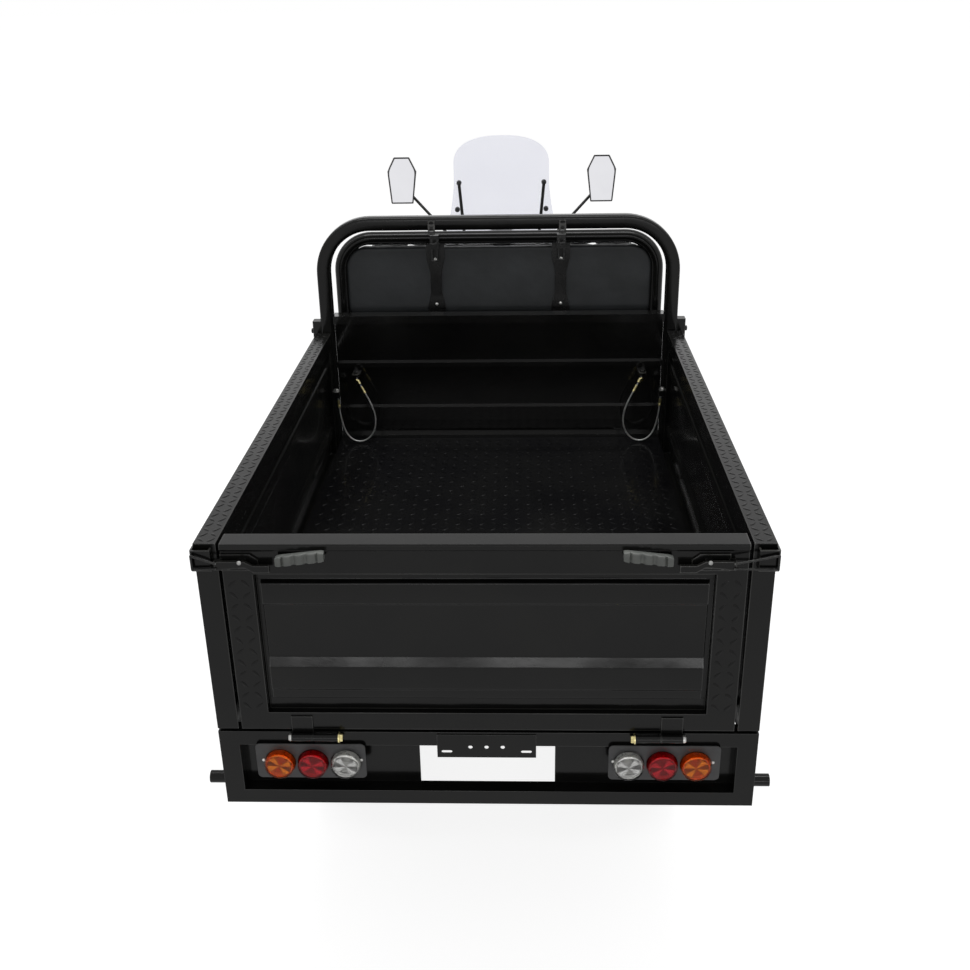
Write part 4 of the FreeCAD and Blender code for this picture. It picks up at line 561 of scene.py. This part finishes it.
def rear_lamp(colour, glass):
    """Two hollow lenses with a rim bead and a ringed face, over a reflector with a bulb."""
    low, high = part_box(colour + "_lenses")
    r = (high.z - low.z) / 2 * LENS_SPREAD
    depth = (high.y - low.y) * 0.82
    wall, face, rings = 0.0018, 0.78, 20

    def scaled(shares):
        return [(along * depth, out * r) for along, out in shares]

    outer = scaled([(0, 1), (0.15, 1), (0.20, 0.98), (0.80, 0.93), (0.94, 0.91), (1, 0.87), (0.99, 0.83),
                    (0.93, 0.80)])
    inner = []
    for k in range(rings + 1):
        share = face * (1 - k / rings)
        crown = 0.90 + 0.05 * (1 - (share / face) ** 2)
        radius = max(r * share, TIP)
        outer.append((crown * depth + (0.0003 if k % 2 else 0), radius))
        inner.insert(0, (0.78 * depth - (0.0008 if k % 2 else 0), radius))
    inner += [(0.82 * depth, r * 0.84), (0.76 * depth, r * 0.93 - wall), (0, r - wall)]
    sleeve = [(-0.0005, r * 0.91), (0.0008, r * 0.91), (0.70 * depth, r * 0.85), (0.73 * depth, r * 0.82),
              (0.70 * depth, r * 0.79), (0.0008, r * 0.79), (-0.0005, r * 0.79)]
    cup = scaled([(0.70, 0.787), (0.34, 0.76), (0.22, 0.66), (0.14, 0.40), (0.10, 0.18)])
    cup.append((0.10 * depth, TIP))
    bulb = [(0.08 * depth, 0.0042), (0.3 * depth, 0.0042), (0.45 * depth, 0.0058), (0.56 * depth, 0.0046),
            (0.62 * depth, 0.0018), (0.63 * depth, TIP)]
    places = [Vector((sign * LENS_X[colour], high.y, (low.z + high.z) / 2 + LENS_RISE)) for sign in (-1, 1)]

    def pair(profile, sides, loop=False):
        def draw(bm):
            for place in places:
                lathe(bm, profile, place, -Y, sides, loop)
        return draw

    def sleeves(bm):
        fins, fin_radius = 6, 0.0006
        for place in places:
            lathe(bm, sleeve, place, -Y, 40, True)
            for k in range(fins):
                angle = math.tau * (k + 0.25) / fins
                ray = X * math.cos(angle) + Z * math.sin(angle)
                start = place - Y * 0.4 * depth
                tube(bm, [start + ray * r * 0.28, start + ray * r * 0.72 - Y * 0.1 * depth], fin_radius, 5)

    on_body(colour + "_lens_shells", "bed", glass, pair(outer + inner, 48, True),
            [colour + "_lenses"])
    on_body(colour + "_sleeves", "bed", REFLECTOR, sleeves)
    on_body(colour + "_reflectors", "bed", LAMP_CUP, pair(cup, 32))
    on_body(colour + "_bulbs", "bed", CLEAR, pair(bulb, 20))


for colour, glass in (("amber", AMBER), ("red", RED), ("clear", CLEAR)):
    rear_lamp(colour, glass)


# Tailgate sheet, pressed with bands and a rib
def pressed_sheet():
    """The sheet between the stiles, with eased bends, slightly wavy, and open slots at its two ends."""
    foot = GATE_FOOT + 0.037
    head = RIM - 0.060
    band, field, step, slot = 0.002, 0.010, 0.005, 0.014
    line = [
        (slot, head), (slot, head - 0.017), (band, head - 0.019), (band, head - 0.061),
        (field, head - 0.065), (field, foot + 0.117), (band, foot + 0.095), (band, foot + 0.050),
        (step, foot + 0.048), (step, foot + 0.029), (slot, foot + 0.027), (slot, foot),
    ]
    front = [(p.x, p.y) for p in eased(line, 0.003)]
    columns = 96
    end, gap, lip = PANEL_HALF - 0.001, 0.010, 0.002
    back = TAIL_Y + 0.026
    places = [(end - gap) * (2 * i / columns - 1) for i in range(columns + 1)]
    places = [-end, -end + gap - lip] + places + [end - gap + lip, end]

    def draw(bm):
        rings = []
        for i, x in enumerate(places):
            edge = i < 2 or i > columns + 2
            ring = []
            for depth, z in front:
                wave = noise.noise(Vector((x * 7, z * 16, 0))) * 0.0006
                wave += noise.noise(Vector((x * 19, z * 9, 3))) * 0.0004
                ring.append((x, TAIL_Y + (slot if edge else min(depth + wave, slot)), z))
            rings.append(ring + [(x, back, foot), (x, back, head)])
        loft(bm, rings)

    on_body("pressed_tail_sheet", "tailgate", PAINT, draw, ["tailgate_panel"])


pressed_sheet()


# Latch grips and the corners that the latches close on
def latch_fronts():
    """Soft grips with finger hollows, and a bent keeper on each side gate's corner."""
    near_z, far_z = 0.9285, 0.9185
    columns, half_tall, hollow_depth = 44, 0.0098, 0.0042

    def grips(bm):
        for sign in (-1, 1):
            inner, outer = 0.255 - sign * LATCH_SHIFT, 0.339 - sign * LATCH_SHIFT
            rings = []
            for i in range(columns + 1):
                share = i / columns
                x = inner + (outer - inner) * share
                tall = half_tall * (1 - 0.22 * (abs(2 * share - 1) ** 14))
                middle = near_z + (far_z - near_z) * share
                hollow = 0
                if 0.12 < share < 0.88:
                    hollow = hollow_depth * max(0, math.cos(math.tau * (share * 4 - 0.5)))
                outline = rounded((-0.022 + hollow, -tall), (-0.007, tall), [0.0035] * 4, 4)
                rings.append([(sign * x, TAIL_Y + u, middle + v) for u, v in outline])
            loft(bm, rings)

    on_body("soft_grips", "tailgate", GRIP_GREY, grips, ["latch_grips"])

    def rivets(bm):
        for sign in (-1, 1):
            for x, out, z, radius in ((0.386, 0.004, 0.900, 0.0032), (0.424, 0.004, 0.900, 0.0032),
                                      (0.402, 0.017, 0.916, 0.004)):
                dome_screw(bm, (sign * x - LATCH_SHIFT, TAIL_Y - out, z), -Y, radius, 0.0016)

    on_body("latch_rivets", "tailgate", STEEL, rivets)

    for side, sign in SIDES:
        def keeper(bm):
            rear, side_y = TAIL_Y - 0.0125, TAIL_Y + 0.032
            inside, outside, sheet = 0.468, 0.5032, 0.003
            line = [(inside, TAIL_Y), (inside, rear), (outside, rear), (outside, side_y),
                    (outside - sheet, side_y), (outside - sheet, rear + sheet),
                    (inside + sheet, rear + sheet), (inside + sheet, TAIL_Y)]
            line = [(sign * p.x, p.y) for p in eased(line, 0.002, True)]
            loft(bm, [[(x, y, z) for x, y in line] for z in (0.8975, 0.9375)])
            for z in (0.905, 0.930):
                dome_screw(bm, (sign * 0.5030, TAIL_Y + 0.020, z), X * sign, 0.0035, 0.002)

        on_body("keeper_plate_" + side, "side_gate_" + side, PAINT, keeper)


latch_fronts()


# Mirror surrounds
def mirror_surrounds():
    """A dark beaded rim round each glass, taken from the glass's own outline."""
    glass = NODES["mirror_glass"]
    points = [glass.matrix_world @ v.co for v in glass.data.vertices]

    def draw(bm):
        for sign in (-1, 1):
            side = [p for p in points if p.x * sign > 0]
            middle = sum(side, Vector()) / len(side)
            high = max(side, key=lambda p: p.z)
            foot = min(side, key=lambda p: p.z)
            up = Vector((0, high.y - foot.y, high.z - foot.z)).normalized()
            out = up.cross(X)
            nearest = min if out.y > 0 else max
            face = nearest((p - middle).dot(out) for p in side)
            flat = {(round((p.x - middle.x), 4), round((p - middle).dot(up), 4)) for p in side}
            line = sorted(flat, key=lambda p: math.atan2(p[1], p[0]))
            line = [(p.x, p.y) for p in eased(line, 0.012, True)]
            way = -1 if out.y > 0 else 1
            rings = []
            for spread, height in ((0.0026, -0.001), (0.0030, 0.0012), (0.0014, 0.0026), (-0.0008, 0.0022),
                                   (-0.0016, -0.001)):
                rings.append([middle + X * u + up * v + out * (face + way * height)
                              for u, v in grow(line, spread)])
            loft(bm, rings, loop=True)

    on_body("mirror_rims", "steering", STRAP, draw)


mirror_surrounds()


# Windscreen
def windscreen():
    """A clear sheet bowed round the rider, round at the top and flared at the foot."""
    low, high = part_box("windshield")
    bow, sheet = 0.420, 0.004
    middle = high.y - bow
    waist, foot_half = 0.151, high.x
    waist_z, crown_z = high.z - 0.138, high.z - 0.085
    rows = []
    for k in range(9):
        z = low.z + (waist_z - low.z) * k / 8
        rows.append((z, waist + (foot_half - waist) * ((waist_z - z) / (waist_z - low.z)) ** 1.4))
    rows.append((crown_z, waist))
    for k in range(1, 15):
        angle = math.pi / 2 * k / 14
        rows.append((crown_z + (high.z - crown_z) * math.sin(angle) ** 0.8,
                     max(waist * math.cos(angle) ** 0.8, 0.004)))
    columns = 24

    def draw(bm):
        rings = []
        for z, half in rows:
            face = []
            for radius, order in ((bow, range(columns + 1)), (bow - sheet, range(columns, -1, -1))):
                for i in order:
                    x = half * (2 * i / columns - 1)
                    face.append(Vector((x, middle + math.sqrt(radius ** 2 - x ** 2), z)))
            rings.append(face)
        loft(bm, rings)

    on_body("screen_sheet", "steering", SCREEN, draw, ["windshield"])

    def knobs(bm):
        for sign in (-1, 1):
            for z, x in ((high.z - 0.142, 0.135), (high.z - 0.225, 0.142)):
                back = middle + math.sqrt((bow - sheet) ** 2 - x ** 2)
                at = (sign * x, back - 0.004, z)
                lathe(bm, [(-0.004, 0.006), (-0.001, 0.008), (0.010, 0.008), (0.012, 0.006)], at, Y, 16)

    on_body("screen_knobs", "steering", PLASTIC, knobs)


windscreen()


# Soft pads
def bake(thing):
    """Turn a piece's modifiers into its mesh."""
    shape = thing.evaluated_get(bpy.context.evaluated_depsgraph_get())
    mesh = bpy.data.meshes.new_from_object(shape)
    thing.modifiers.clear()
    thing.data = mesh
    for polygon in mesh.polygons:
        polygon.use_smooth = True


def blank(name, outline, back, front, round_over, material, body, replaces):
    """A closed form with that (x, z) outline whose faces are rounded over at their edges."""
    middle_x = sum(u for u, v in outline) / len(outline)
    middle_z = sum(v for u, v in outline) / len(outline)
    wide = max(u for u, v in outline) - middle_x
    tall = max(v for u, v in outline) - middle_z
    bm = bmesh.new()
    rings = []
    for k in range(9):
        share = k / 8
        inset = round_over * (abs(2 * share - 1) ** 4)
        y = back + (front - back) * share
        rings.append([(middle_x + (u - middle_x) * (1 - inset / wide), y,
                       middle_z + (v - middle_z) * (1 - inset / tall)) for u, v in outline])
    loft(bm, rings)
    return new_piece(name, bm, body, material, True, replaces)


def inflate(things, voxel, held, cap, shrink):
    """Remesh closed forms, blow them up as cloth with some points held, and subdivide them once."""
    rests = []
    for thing in things:
        remesh = thing.modifiers.new("remesh", "REMESH")
        remesh.mode = "VOXEL"
        remesh.voxel_size = voxel
        bake(thing)
        rest = [v.co.copy() for v in thing.data.vertices]
        rests.append(rest)
        group = thing.vertex_groups.new(name="held")
        group.add([i for i, p in enumerate(rest) if held(p)], 1.0, "REPLACE")
        cloth = thing.modifiers.new("cloth", "CLOTH")
        cloth.settings.vertex_group_mass = "held"
        cloth.settings.use_pressure = True
        cloth.settings.uniform_pressure_force = 4.0
        cloth.settings.shrink_min = shrink
        cloth.settings.bending_stiffness = 0.4
        cloth.settings.effector_weights.gravity = 0
        cloth.point_cache.frame_start = 1
        cloth.point_cache.frame_end = 20
    for number in range(1, 21):
        bpy.context.scene.frame_set(number)
    for thing, rest in zip(things, rests):
        bake(thing)
        for vertex, start in zip(thing.data.vertices, rest):
            move = vertex.co - start
            if move.length > cap:
                vertex.co = start + move.normalized() * cap
        smooth = thing.modifiers.new("smooth", "SUBSURF")
        smooth.levels = 1
        bake(thing)
    bpy.context.scene.frame_set(1)


def piping(bm, outline, y, radius=0.0022):
    """A welt along a closed outline of (x, z) points at that y."""
    points = [Vector((u, y, v)) for u, v in outline]
    rings = []
    for i, point in enumerate(points):
        step = (points[(i + 1) % len(points)] - points[i - 1]).normalized()
        out = Y.cross(step)
        rings.append([point + (Y * math.cos(a) + out * math.sin(a)) * radius
                      for a in [math.tau * k / 8 for k in range(8)]])
    loft(bm, rings, loop=True)


def backrest_pads():
    """Three vinyl pads between the backrest's tubes and straps."""
    low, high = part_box("backrest_pads")
    gap, swell = 0.004, 0.001
    small, large = 0.010, 0.058
    low += Vector((-0.0075, 0, -0.002))
    high += Vector((0.0075, 0, 0.008))
    foot, head = low.z + swell, high.z - swell
    lines = {
        "left": rounded((low.x + swell, foot), (-STRAP_X - gap - swell, head),
                        (small, large - swell, small, small), 8),
        "middle": rounded((gap - STRAP_X + swell, foot), (STRAP_X - gap - swell, head), [small] * 4, 8),
        "right": rounded((STRAP_X + gap + swell, foot), (high.x - swell, head),
                         (large - swell, small, small, small), 8),
    }
    pads = []
    for name, line in lines.items():
        pads.append(blank("pad_" + name, line, low.y + 0.001, high.y - 0.006, 0.004, VINYL, "chassis",
                          ["backrest_pads"]))

    def held(p):
        return p.y < low.y + 0.010

    inflate(pads, 0.005, held, 0.006, -0.02)

    def seams(bm):
        for line in lines.values():
            piping(bm, grow(line, -0.001), high.y - 0.008)

    on_body("pad_piping", "chassis", VINYL, seams)

    def foot_rail(bm):
        block(bm, (low.x, low.y - 0.002, low.z - 0.008), (high.x, low.y + 0.030, low.z + 0.004))

    bevel(on_body("pad_foot_rail", "chassis", PAINT, foot_rail), 0.003)


def seat_cushion():
    """The bench cushion, rounded most along its front edge."""
    low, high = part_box("seat_cushion")
    swell = 0.008
    corners = (0.045, 0.028, 0.006, 0.020)
    line = rounded((low.y + swell, low.z + 0.001), (high.y - swell, high.z - swell), corners, 8)
    bm = bmesh.new()
    rings = []
    mid_y, mid_z = (low.y + high.y) / 2, (low.z + high.z) / 2
    for k in range(17):
        share = 2 * k / 16 - 1
        x = (high.x - swell) * share
        inset = 0.022 * abs(share) ** 24
        rings.append([(x, mid_y + (y - mid_y) * (1 - inset / 0.2), mid_z + (z - mid_z) * (1 - inset / 0.05)
                       if z > mid_z else z) for y, z in line])
    loft(bm, rings)
    seat = new_piece("seat_pad", bm, "chassis", VINYL, True, ["seat_cushion"])

    def held(p):
        return p.z < low.z + 0.012

    inflate([seat], 0.009, held, swell, -0.02)


backrest_pads()
seat_cushion()


# Tread sheet
def tread_sheets():
    """Tear shapes on the bed floor, the tailgate's stiles and the tops of the side gates."""
    edge = 0.012
    size = FLOOR_HIGH - FLOOR_LOW

    def floor(bm):
        corner = Vector((FLOOR_LOW.x + edge, FLOOR_LOW.y + edge, FLOOR_HIGH.z))
        tread(bm, corner, X, Y, (size.x - 2 * edge, size.y - 2 * edge), Z, 0.028)

    def stiles(bm):
        margin, height = 0.003, 0.279
        for x in (-GATE_HALF, PANEL_HALF):
            corner = Vector((x + margin, TAIL_Y, GATE_FOOT + 0.040))
            tread(bm, corner, X, Z, (GATE_HALF - PANEL_HALF - 2 * margin, height), -Y, 0.023)

    on_body("floor_tread", "bed", FLOOR_PAINT, floor)
    on_body("stile_tread", "tailgate", EMBOSSED, stiles)
    for side, sign in SIDES:
        def rail(bm):
            wide, margin, run = 0.040, 0.002, 1.260
            inner = min(sign * HALF_W, sign * (HALF_W - wide))
            corner = Vector((inner + margin, TAIL_Y + 0.004, RIM))
            tread(bm, corner, X, Y, (wide - 2 * margin, run), Z, 0.020)

        on_body("rail_tread_" + side, "side_gate_" + side, EMBOSSED, rail)


tread_sheets()


# Wheels
# Half of a tyre's outline, as (across, radius) from its bead to its crown
TYRE_SIDE = [(0.040, 0.1485), (0.0402, 0.163), (0.0435, 0.174), (0.0452, 0.175), (0.0448, 0.187),
             (0.0452, 0.203), (0.0458, 0.205), (0.0450, 0.207), (0.0440, 0.216), (0.0385, 0.2325),
             (0.0255, 0.2420), (0, 0.2455)]
# Rows of tread blocks: from and to across the tyre, the radius at each, and the lag in blocks
TREAD_ROWS = [(-0.009, 0.009, 0.2498, 0.2498, 0), (0.013, 0.027, 0.2488, 0.2458, 0.5),
              (-0.027, -0.013, 0.2458, 0.2488, 0.5), (0.030, 0.0425, 0.2437, 0.2310, 0),
              (-0.0425, -0.030, 0.2310, 0.2437, 0)]
TREAD_BLOCKS = 46
TREAD_ROOT = 0.008


def tyre(name, body, middle):
    """A tyre with sidewall rings and five rows of tread blocks."""
    outline = TYRE_SIDE + [(-u, v) for u, v in reversed(TYRE_SIDE[:-1])]
    half = 0.34

    def draw(bm):
        lathe(bm, outline, middle, X, 96, loop=True)
        for start, end, first, last, lag in TREAD_ROWS:
            corners = ((start, first, -half), (end, last, -half), (end, last, half), (start, first, half))
            for k in range(TREAD_BLOCKS):
                rings = []
                for drop in (TREAD_ROOT, 0.0):
                    ring = []
                    for x, radius, turn in corners:
                        angle = math.tau * (k + lag + turn) / TREAD_BLOCKS
                        reach = radius - drop
                        ring.append(middle + Vector((x, reach * math.cos(angle), reach * math.sin(angle))))
                    rings.append(ring)
                loft(bm, rings)

    on_body(name + "_tread_tyre", body, TYRE, draw, [name + "_tyre"], smooth=False)


def wheel_nuts(name, body, middle):
    """Five nuts on each face of the rim, and the valve."""
    nuts, circle, face = 5, 0.052, 0.0112
    valve = [(0, 0.0045), (0.016, 0.004), (0.017, 0.0045), (0.026, 0.0042), (0.027, TIP)]

    def draw(bm):
        for sign in (-1, 1):
            for k in range(nuts):
                angle = math.tau * k / nuts
                place = middle + Vector((sign * face, circle * math.cos(angle), circle * math.sin(angle)))
                hex_bolt(bm, place, X * sign, 0.014, 0.007)
        lathe(bm, valve, middle + Vector((0.006, 0, 0.124)), X, 12)

    on_body(name + "_wheel_nuts", body, ZINC, draw)


for name, body in (("front", "front_wheel"), ("rear_left", "rear_wheel_left"),
                   ("rear_right", "rear_wheel_right")):
    low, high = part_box(name + "_tyre")
    tyre(name, body, (low + high) / 2)
    wheel_nuts(name, body, (low + high) / 2)


# Headlamp glass and dial face
def lamp_front():
    """The headlamp's chrome ring, its stepped reflector and its ribbed glass."""
    low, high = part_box("headlamp")
    middle = Vector((0, high.y, (low.z + high.z) / 2))
    r = (high.z - low.z) / 2
    ring = [(-0.014, r + 0.0005), (-0.002, r + 0.001), (0.003, r - 0.002), (0.003, r - 0.008),
            (-0.002, r - 0.009)]
    disc = [(0.0006, r - 0.008), (0.0012, r * 0.6), (0.0006, r * 0.4), (0.0014, r * 0.2), (0.0014, TIP)]
    glass = [(0.002, r - 0.006), (0.006, r * 0.86)]
    steps, rib = 14, 0.0003
    for k in range(steps + 1):
        share = 0.82 * (1 - k / steps)
        glass.append((0.010 - 0.004 * share ** 2 + (rib if k % 2 else 0), max(r * share, TIP)))
    glass.append((0.002, TIP))

    for name, finish, profile, sides, loop in (("headlamp_ring", CHROME, ring, 56, True),
                                               ("headlamp_reflector", REFLECTOR, disc, 48, False),
                                               ("headlamp_glass", CLEAR, glass, 56, False)):
        def draw(bm):
            lathe(bm, profile, middle, Y, sides, loop)

        on_body(name, "steering", finish, draw)


def dial():
    """The dial's bezel, its marks and its needle."""
    low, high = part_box("instrument")
    middle = Vector((0, (low.y + high.y) / 2, high.z))
    r = (high.y - low.y) / 2
    rim = [(-0.004, r + 0.0005), (0.001, r), (0.001, r - 0.004), (-0.001, r - 0.005)]
    count, first, step = 21, -225, 13.5
    lift = Z * 0.0012

    def bezel(bm):
        lathe(bm, rim, middle, Z, 40, loop=True)

    def marks(bm):
        for k in range(count):
            angle = math.radians(first + step * k)
            ray = Vector((math.cos(angle), math.sin(angle), 0))
            reach = 0.72 if k % 5 else 0.62
            tube(bm, [middle + ray * r * reach, middle + ray * r * 0.80], 0.0005, 4)
        tube(bm, [middle + lift, middle + Vector((-0.018, -0.012, 0)) + lift], 0.0007, 5)
        lathe(bm, [(0, 0.004), (0.002, 0.0035), (0.002, TIP)], middle, Z, 16)

    on_body("dial_bezel", "steering", CHROME, bezel)
    on_body("dial_marks", "steering", ZINC, marks)


lamp_front()
dial()


# Screws, nuts and rivets
def fittings():
    """Small fastenings, one mesh for each body and finish."""
    plate_y = TAIL_Y - 0.007
    hinge_y, hinge_z = TAIL_Y - 0.010, GATE_FOOT - 0.011

    def bed_zinc(bm):
        for sign in (-1, 1):
            for x, z in ((0.4185, 0.4935), (0.2345, 0.4945)):
                dome_screw(bm, (sign * x, plate_y, z), -Y, 0.0034, 0.0022)
            lathe(bm, [(-0.004, 0.0062), (0.002, 0.0078), (0.005, 0.0068), (0.0062, 0.003)],
                  (sign * 0.360, hinge_y, hinge_z), X * sign, 20)
            for x in (0.3180, 0.2846):
                dome_screw(bm, (sign * x, TAIL_Y - 0.003, 0.5385), -Y, 0.0028, 0.0018)

    def bed_brass(bm):
        for sign in (-1, 1):
            hex_bolt(bm, (sign * 0.272, hinge_y, hinge_z), -X * sign, 0.013, 0.007)
            eye = [(-0.0055, 0.0012), (-0.004, 0.0042), (0.0, 0.0058), (0.004, 0.0042), (0.0055, 0.0012)]
            lathe(bm, eye, (sign * 0.3935, -0.0266, 0.8170), Z, 20)
            sleeve = [(0.002, 0.0040), (0.003, 0.0052), (0.015, 0.0052), (0.016, 0.0040)]
            lathe(bm, sleeve, (sign * 0.385, -0.028, 0.803), Vector((sign * 10, 1.5, 19.5)), 20)

    def bed_black(bm):
        for sign in (-1, 1):
            hex_bolt(bm, (sign * 0.3965, FRONT_Y - 0.059, RIM - 0.1135), Z, 0.013, 0.008)
            for y in (TAIL_Y + 0.101, TAIL_Y + 0.634, TAIL_Y + 1.167):
                dome_screw(bm, (sign * 0.505, y + 0.072, GATE_FOOT - 0.009), Y, 0.0052, 0.003)

    def strap_bolts(bm):
        for sign in (-1, 1):
            for z in (1.1210, 0.9950):
                dome_screw(bm, (sign * 0.1735, 0.1032, z), -Y, 0.0046, 0.0030)

    def gate_bolts(sign):
        def draw(bm):
            hex_bolt(bm, (sign * 0.4500, -0.0440, RIM - 0.156), Z, 0.012, 0.007)
        return draw

    on_body("bed_screws", "bed", ZINC, bed_zinc)
    on_body("bed_nuts", "bed", BRASS, bed_brass)
    on_body("bed_bolts", "bed", PAINT, bed_black)
    on_body("strap_screws", "chassis", ZINC, strap_bolts)
    for side, sign in SIDES:
        on_body("cable_nut_" + side, "side_gate_" + side, ZINC, gate_bolts(sign))


fittings()


# Slack cables between the front wall and the side gates
CABLE_ROUTE = [
    (0.385, -0.028, 0.803), (0.371, -0.030, 0.776), (0.356, -0.032, 0.746), (0.346, -0.034, 0.713),
    (0.347, -0.037, 0.680), (0.360, -0.040, 0.653), (0.382, -0.043, 0.639), (0.407, -0.045, 0.641),
    (0.427, -0.046, 0.660), (0.438, -0.046, 0.692), (0.444, -0.046, 0.733), (0.447, -0.044, 0.772),
]
CABLE_RADIUS = 0.0025


def route_points(name, route):
    """Points along the smooth curve that the route's points control."""
    data = bpy.data.curves.new(name, "CURVE")
    data.dimensions = "3D"
    data.resolution_u = 14
    spline = data.splines.new("NURBS")
    spline.points.add(len(route) - 1)
    for point, (x, y, z) in zip(spline.points, route):
        point.co = (x, y, z, 1)
    spline.order_u = 3
    spline.use_endpoint_u = True
    holder = add_object(name, data)
    mesh = bpy.data.meshes.new_from_object(holder)
    points = [v.co.copy() for v in mesh.vertices]
    bpy.data.objects.remove(holder)
    return points


def cable(side, sign):
    """A wire rope with a swaged ferrule at each end."""
    route = [(sign * x, y, z) for x, y, z in CABLE_ROUTE]
    points = route_points("route_" + side, route)
    bm = bmesh.new()
    tube(bm, points, CABLE_RADIUS, 14, lobes=6, twist=420.0)
    wire = new_piece("cable_%s_wire" % side, bm, None, STEEL, replaces=("cable_" + side,))
    ends = bmesh.new()
    for along, at in ((-1, 0.006), (1, 0.008)):
        end = points[0] if along < 0 else points[-1]
        inward = (points[8] - points[0]) if along < 0 else (points[-9] - points[-1])
        lathe(ends, [(at, 0.0026), (at + 0.001, 0.0042), (at + 0.013, 0.0042), (at + 0.014, 0.0034),
                     (at + 0.016, 0.0042), (at + 0.021, 0.0042), (at + 0.022, 0.0026)], end, inward, 20)
    ferrules = new_piece("cable_%s_ferrules" % side, ends, None, BRASS)
    for thing in (wire, ferrules):
        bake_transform(thing)


cable("left", -1)
cable("right", 1)


# Stage and light
def add_stage():
    """A pale floor that keeps the shadow and reads white to the camera and in reflections."""
    bm = bmesh.new()
    size = 90.0
    corners = ((-size, -size), (size, -size), (size, size), (-size, size))
    bm.faces.new([bm.verts.new((x, y, 0)) for x, y in corners])
    mesh = bpy.data.meshes.new("floor")
    bm.to_mesh(mesh)
    bm.free()
    add_object("floor", mesh)
    material = bpy.data.materials.new("white_floor")
    material.use_nodes = True
    nodes, links = material.node_tree.nodes, material.node_tree.links
    nodes.clear()
    diffuse = nodes.new("ShaderNodeBsdfDiffuse")
    diffuse.inputs["Color"].default_value = (0.42, 0.42, 0.42, 1)
    glow = nodes.new("ShaderNodeEmission")
    links.new(seen(nodes, links, 0.84), glow.inputs["Strength"])
    both = nodes.new("ShaderNodeAddShader")
    links.new(diffuse.outputs[0], both.inputs[0])
    links.new(glow.outputs[0], both.inputs[1])
    out = nodes.new("ShaderNodeOutputMaterial")
    links.new(both.outputs[0], out.inputs["Surface"])
    mesh.materials.append(material)


def seen(nodes, links, strength):
    """The strength for camera, glossy and transmission rays, and none for the rest."""
    path = nodes.new("ShaderNodeLightPath")
    total = path.outputs["Is Camera Ray"]
    for ray in ("Is Glossy Ray", "Is Transmission Ray"):
        total = math_node(nodes, links, "MAXIMUM", total, path.outputs[ray])
    return math_node(nodes, links, "MULTIPLY", total, strength)


def add_world(ambient):
    world = bpy.data.worlds.new("studio")
    world.use_nodes = True
    bpy.context.scene.world = world
    nodes, links = world.node_tree.nodes, world.node_tree.links
    back = nodes["Background"]
    back.inputs["Color"].default_value = (1, 1, 1, 1)
    strength = math_node(nodes, links, "ADD", seen(nodes, links, 1 - ambient), ambient)
    links.new(strength, back.inputs["Strength"])


def add_lamp(name, place, aim, size, radiance):
    """A soft rectangular lamp whose face has that brightness."""
    data = bpy.data.lights.new(name, "AREA")
    data.shape = "RECTANGLE"
    data.size, data.size_y = size
    data.energy = radiance * math.pi * size[0] * size[1]
    lamp = add_object(name, data)
    lamp.location = place
    lamp.rotation_euler = (Vector(aim) - Vector(place)).to_track_quat("-Z", "Y").to_euler()


add_stage()
add_world(0.4)
add_lamp("top_strip_left", (-1.7, -0.5, 3.8), (0.0, -0.4, 0.7), (0.35, 4.4), 5.0)
add_lamp("top_strip_right", (1.7, -0.5, 3.8), (0.0, -0.4, 0.7), (0.35, 4.4), 5.0)
add_lamp("back_strip", (0.3, -6.0, 1.35), (0.0, -1.2, 0.7), (3.6, 0.5), 7.0)
add_lamp("cross_strip", (0.0, -0.6, 3.6), (0.0, -0.4, 0.7), (2.6, 0.6), 9.0)

bpy.context.scene.view_settings.view_transform = "Standard"
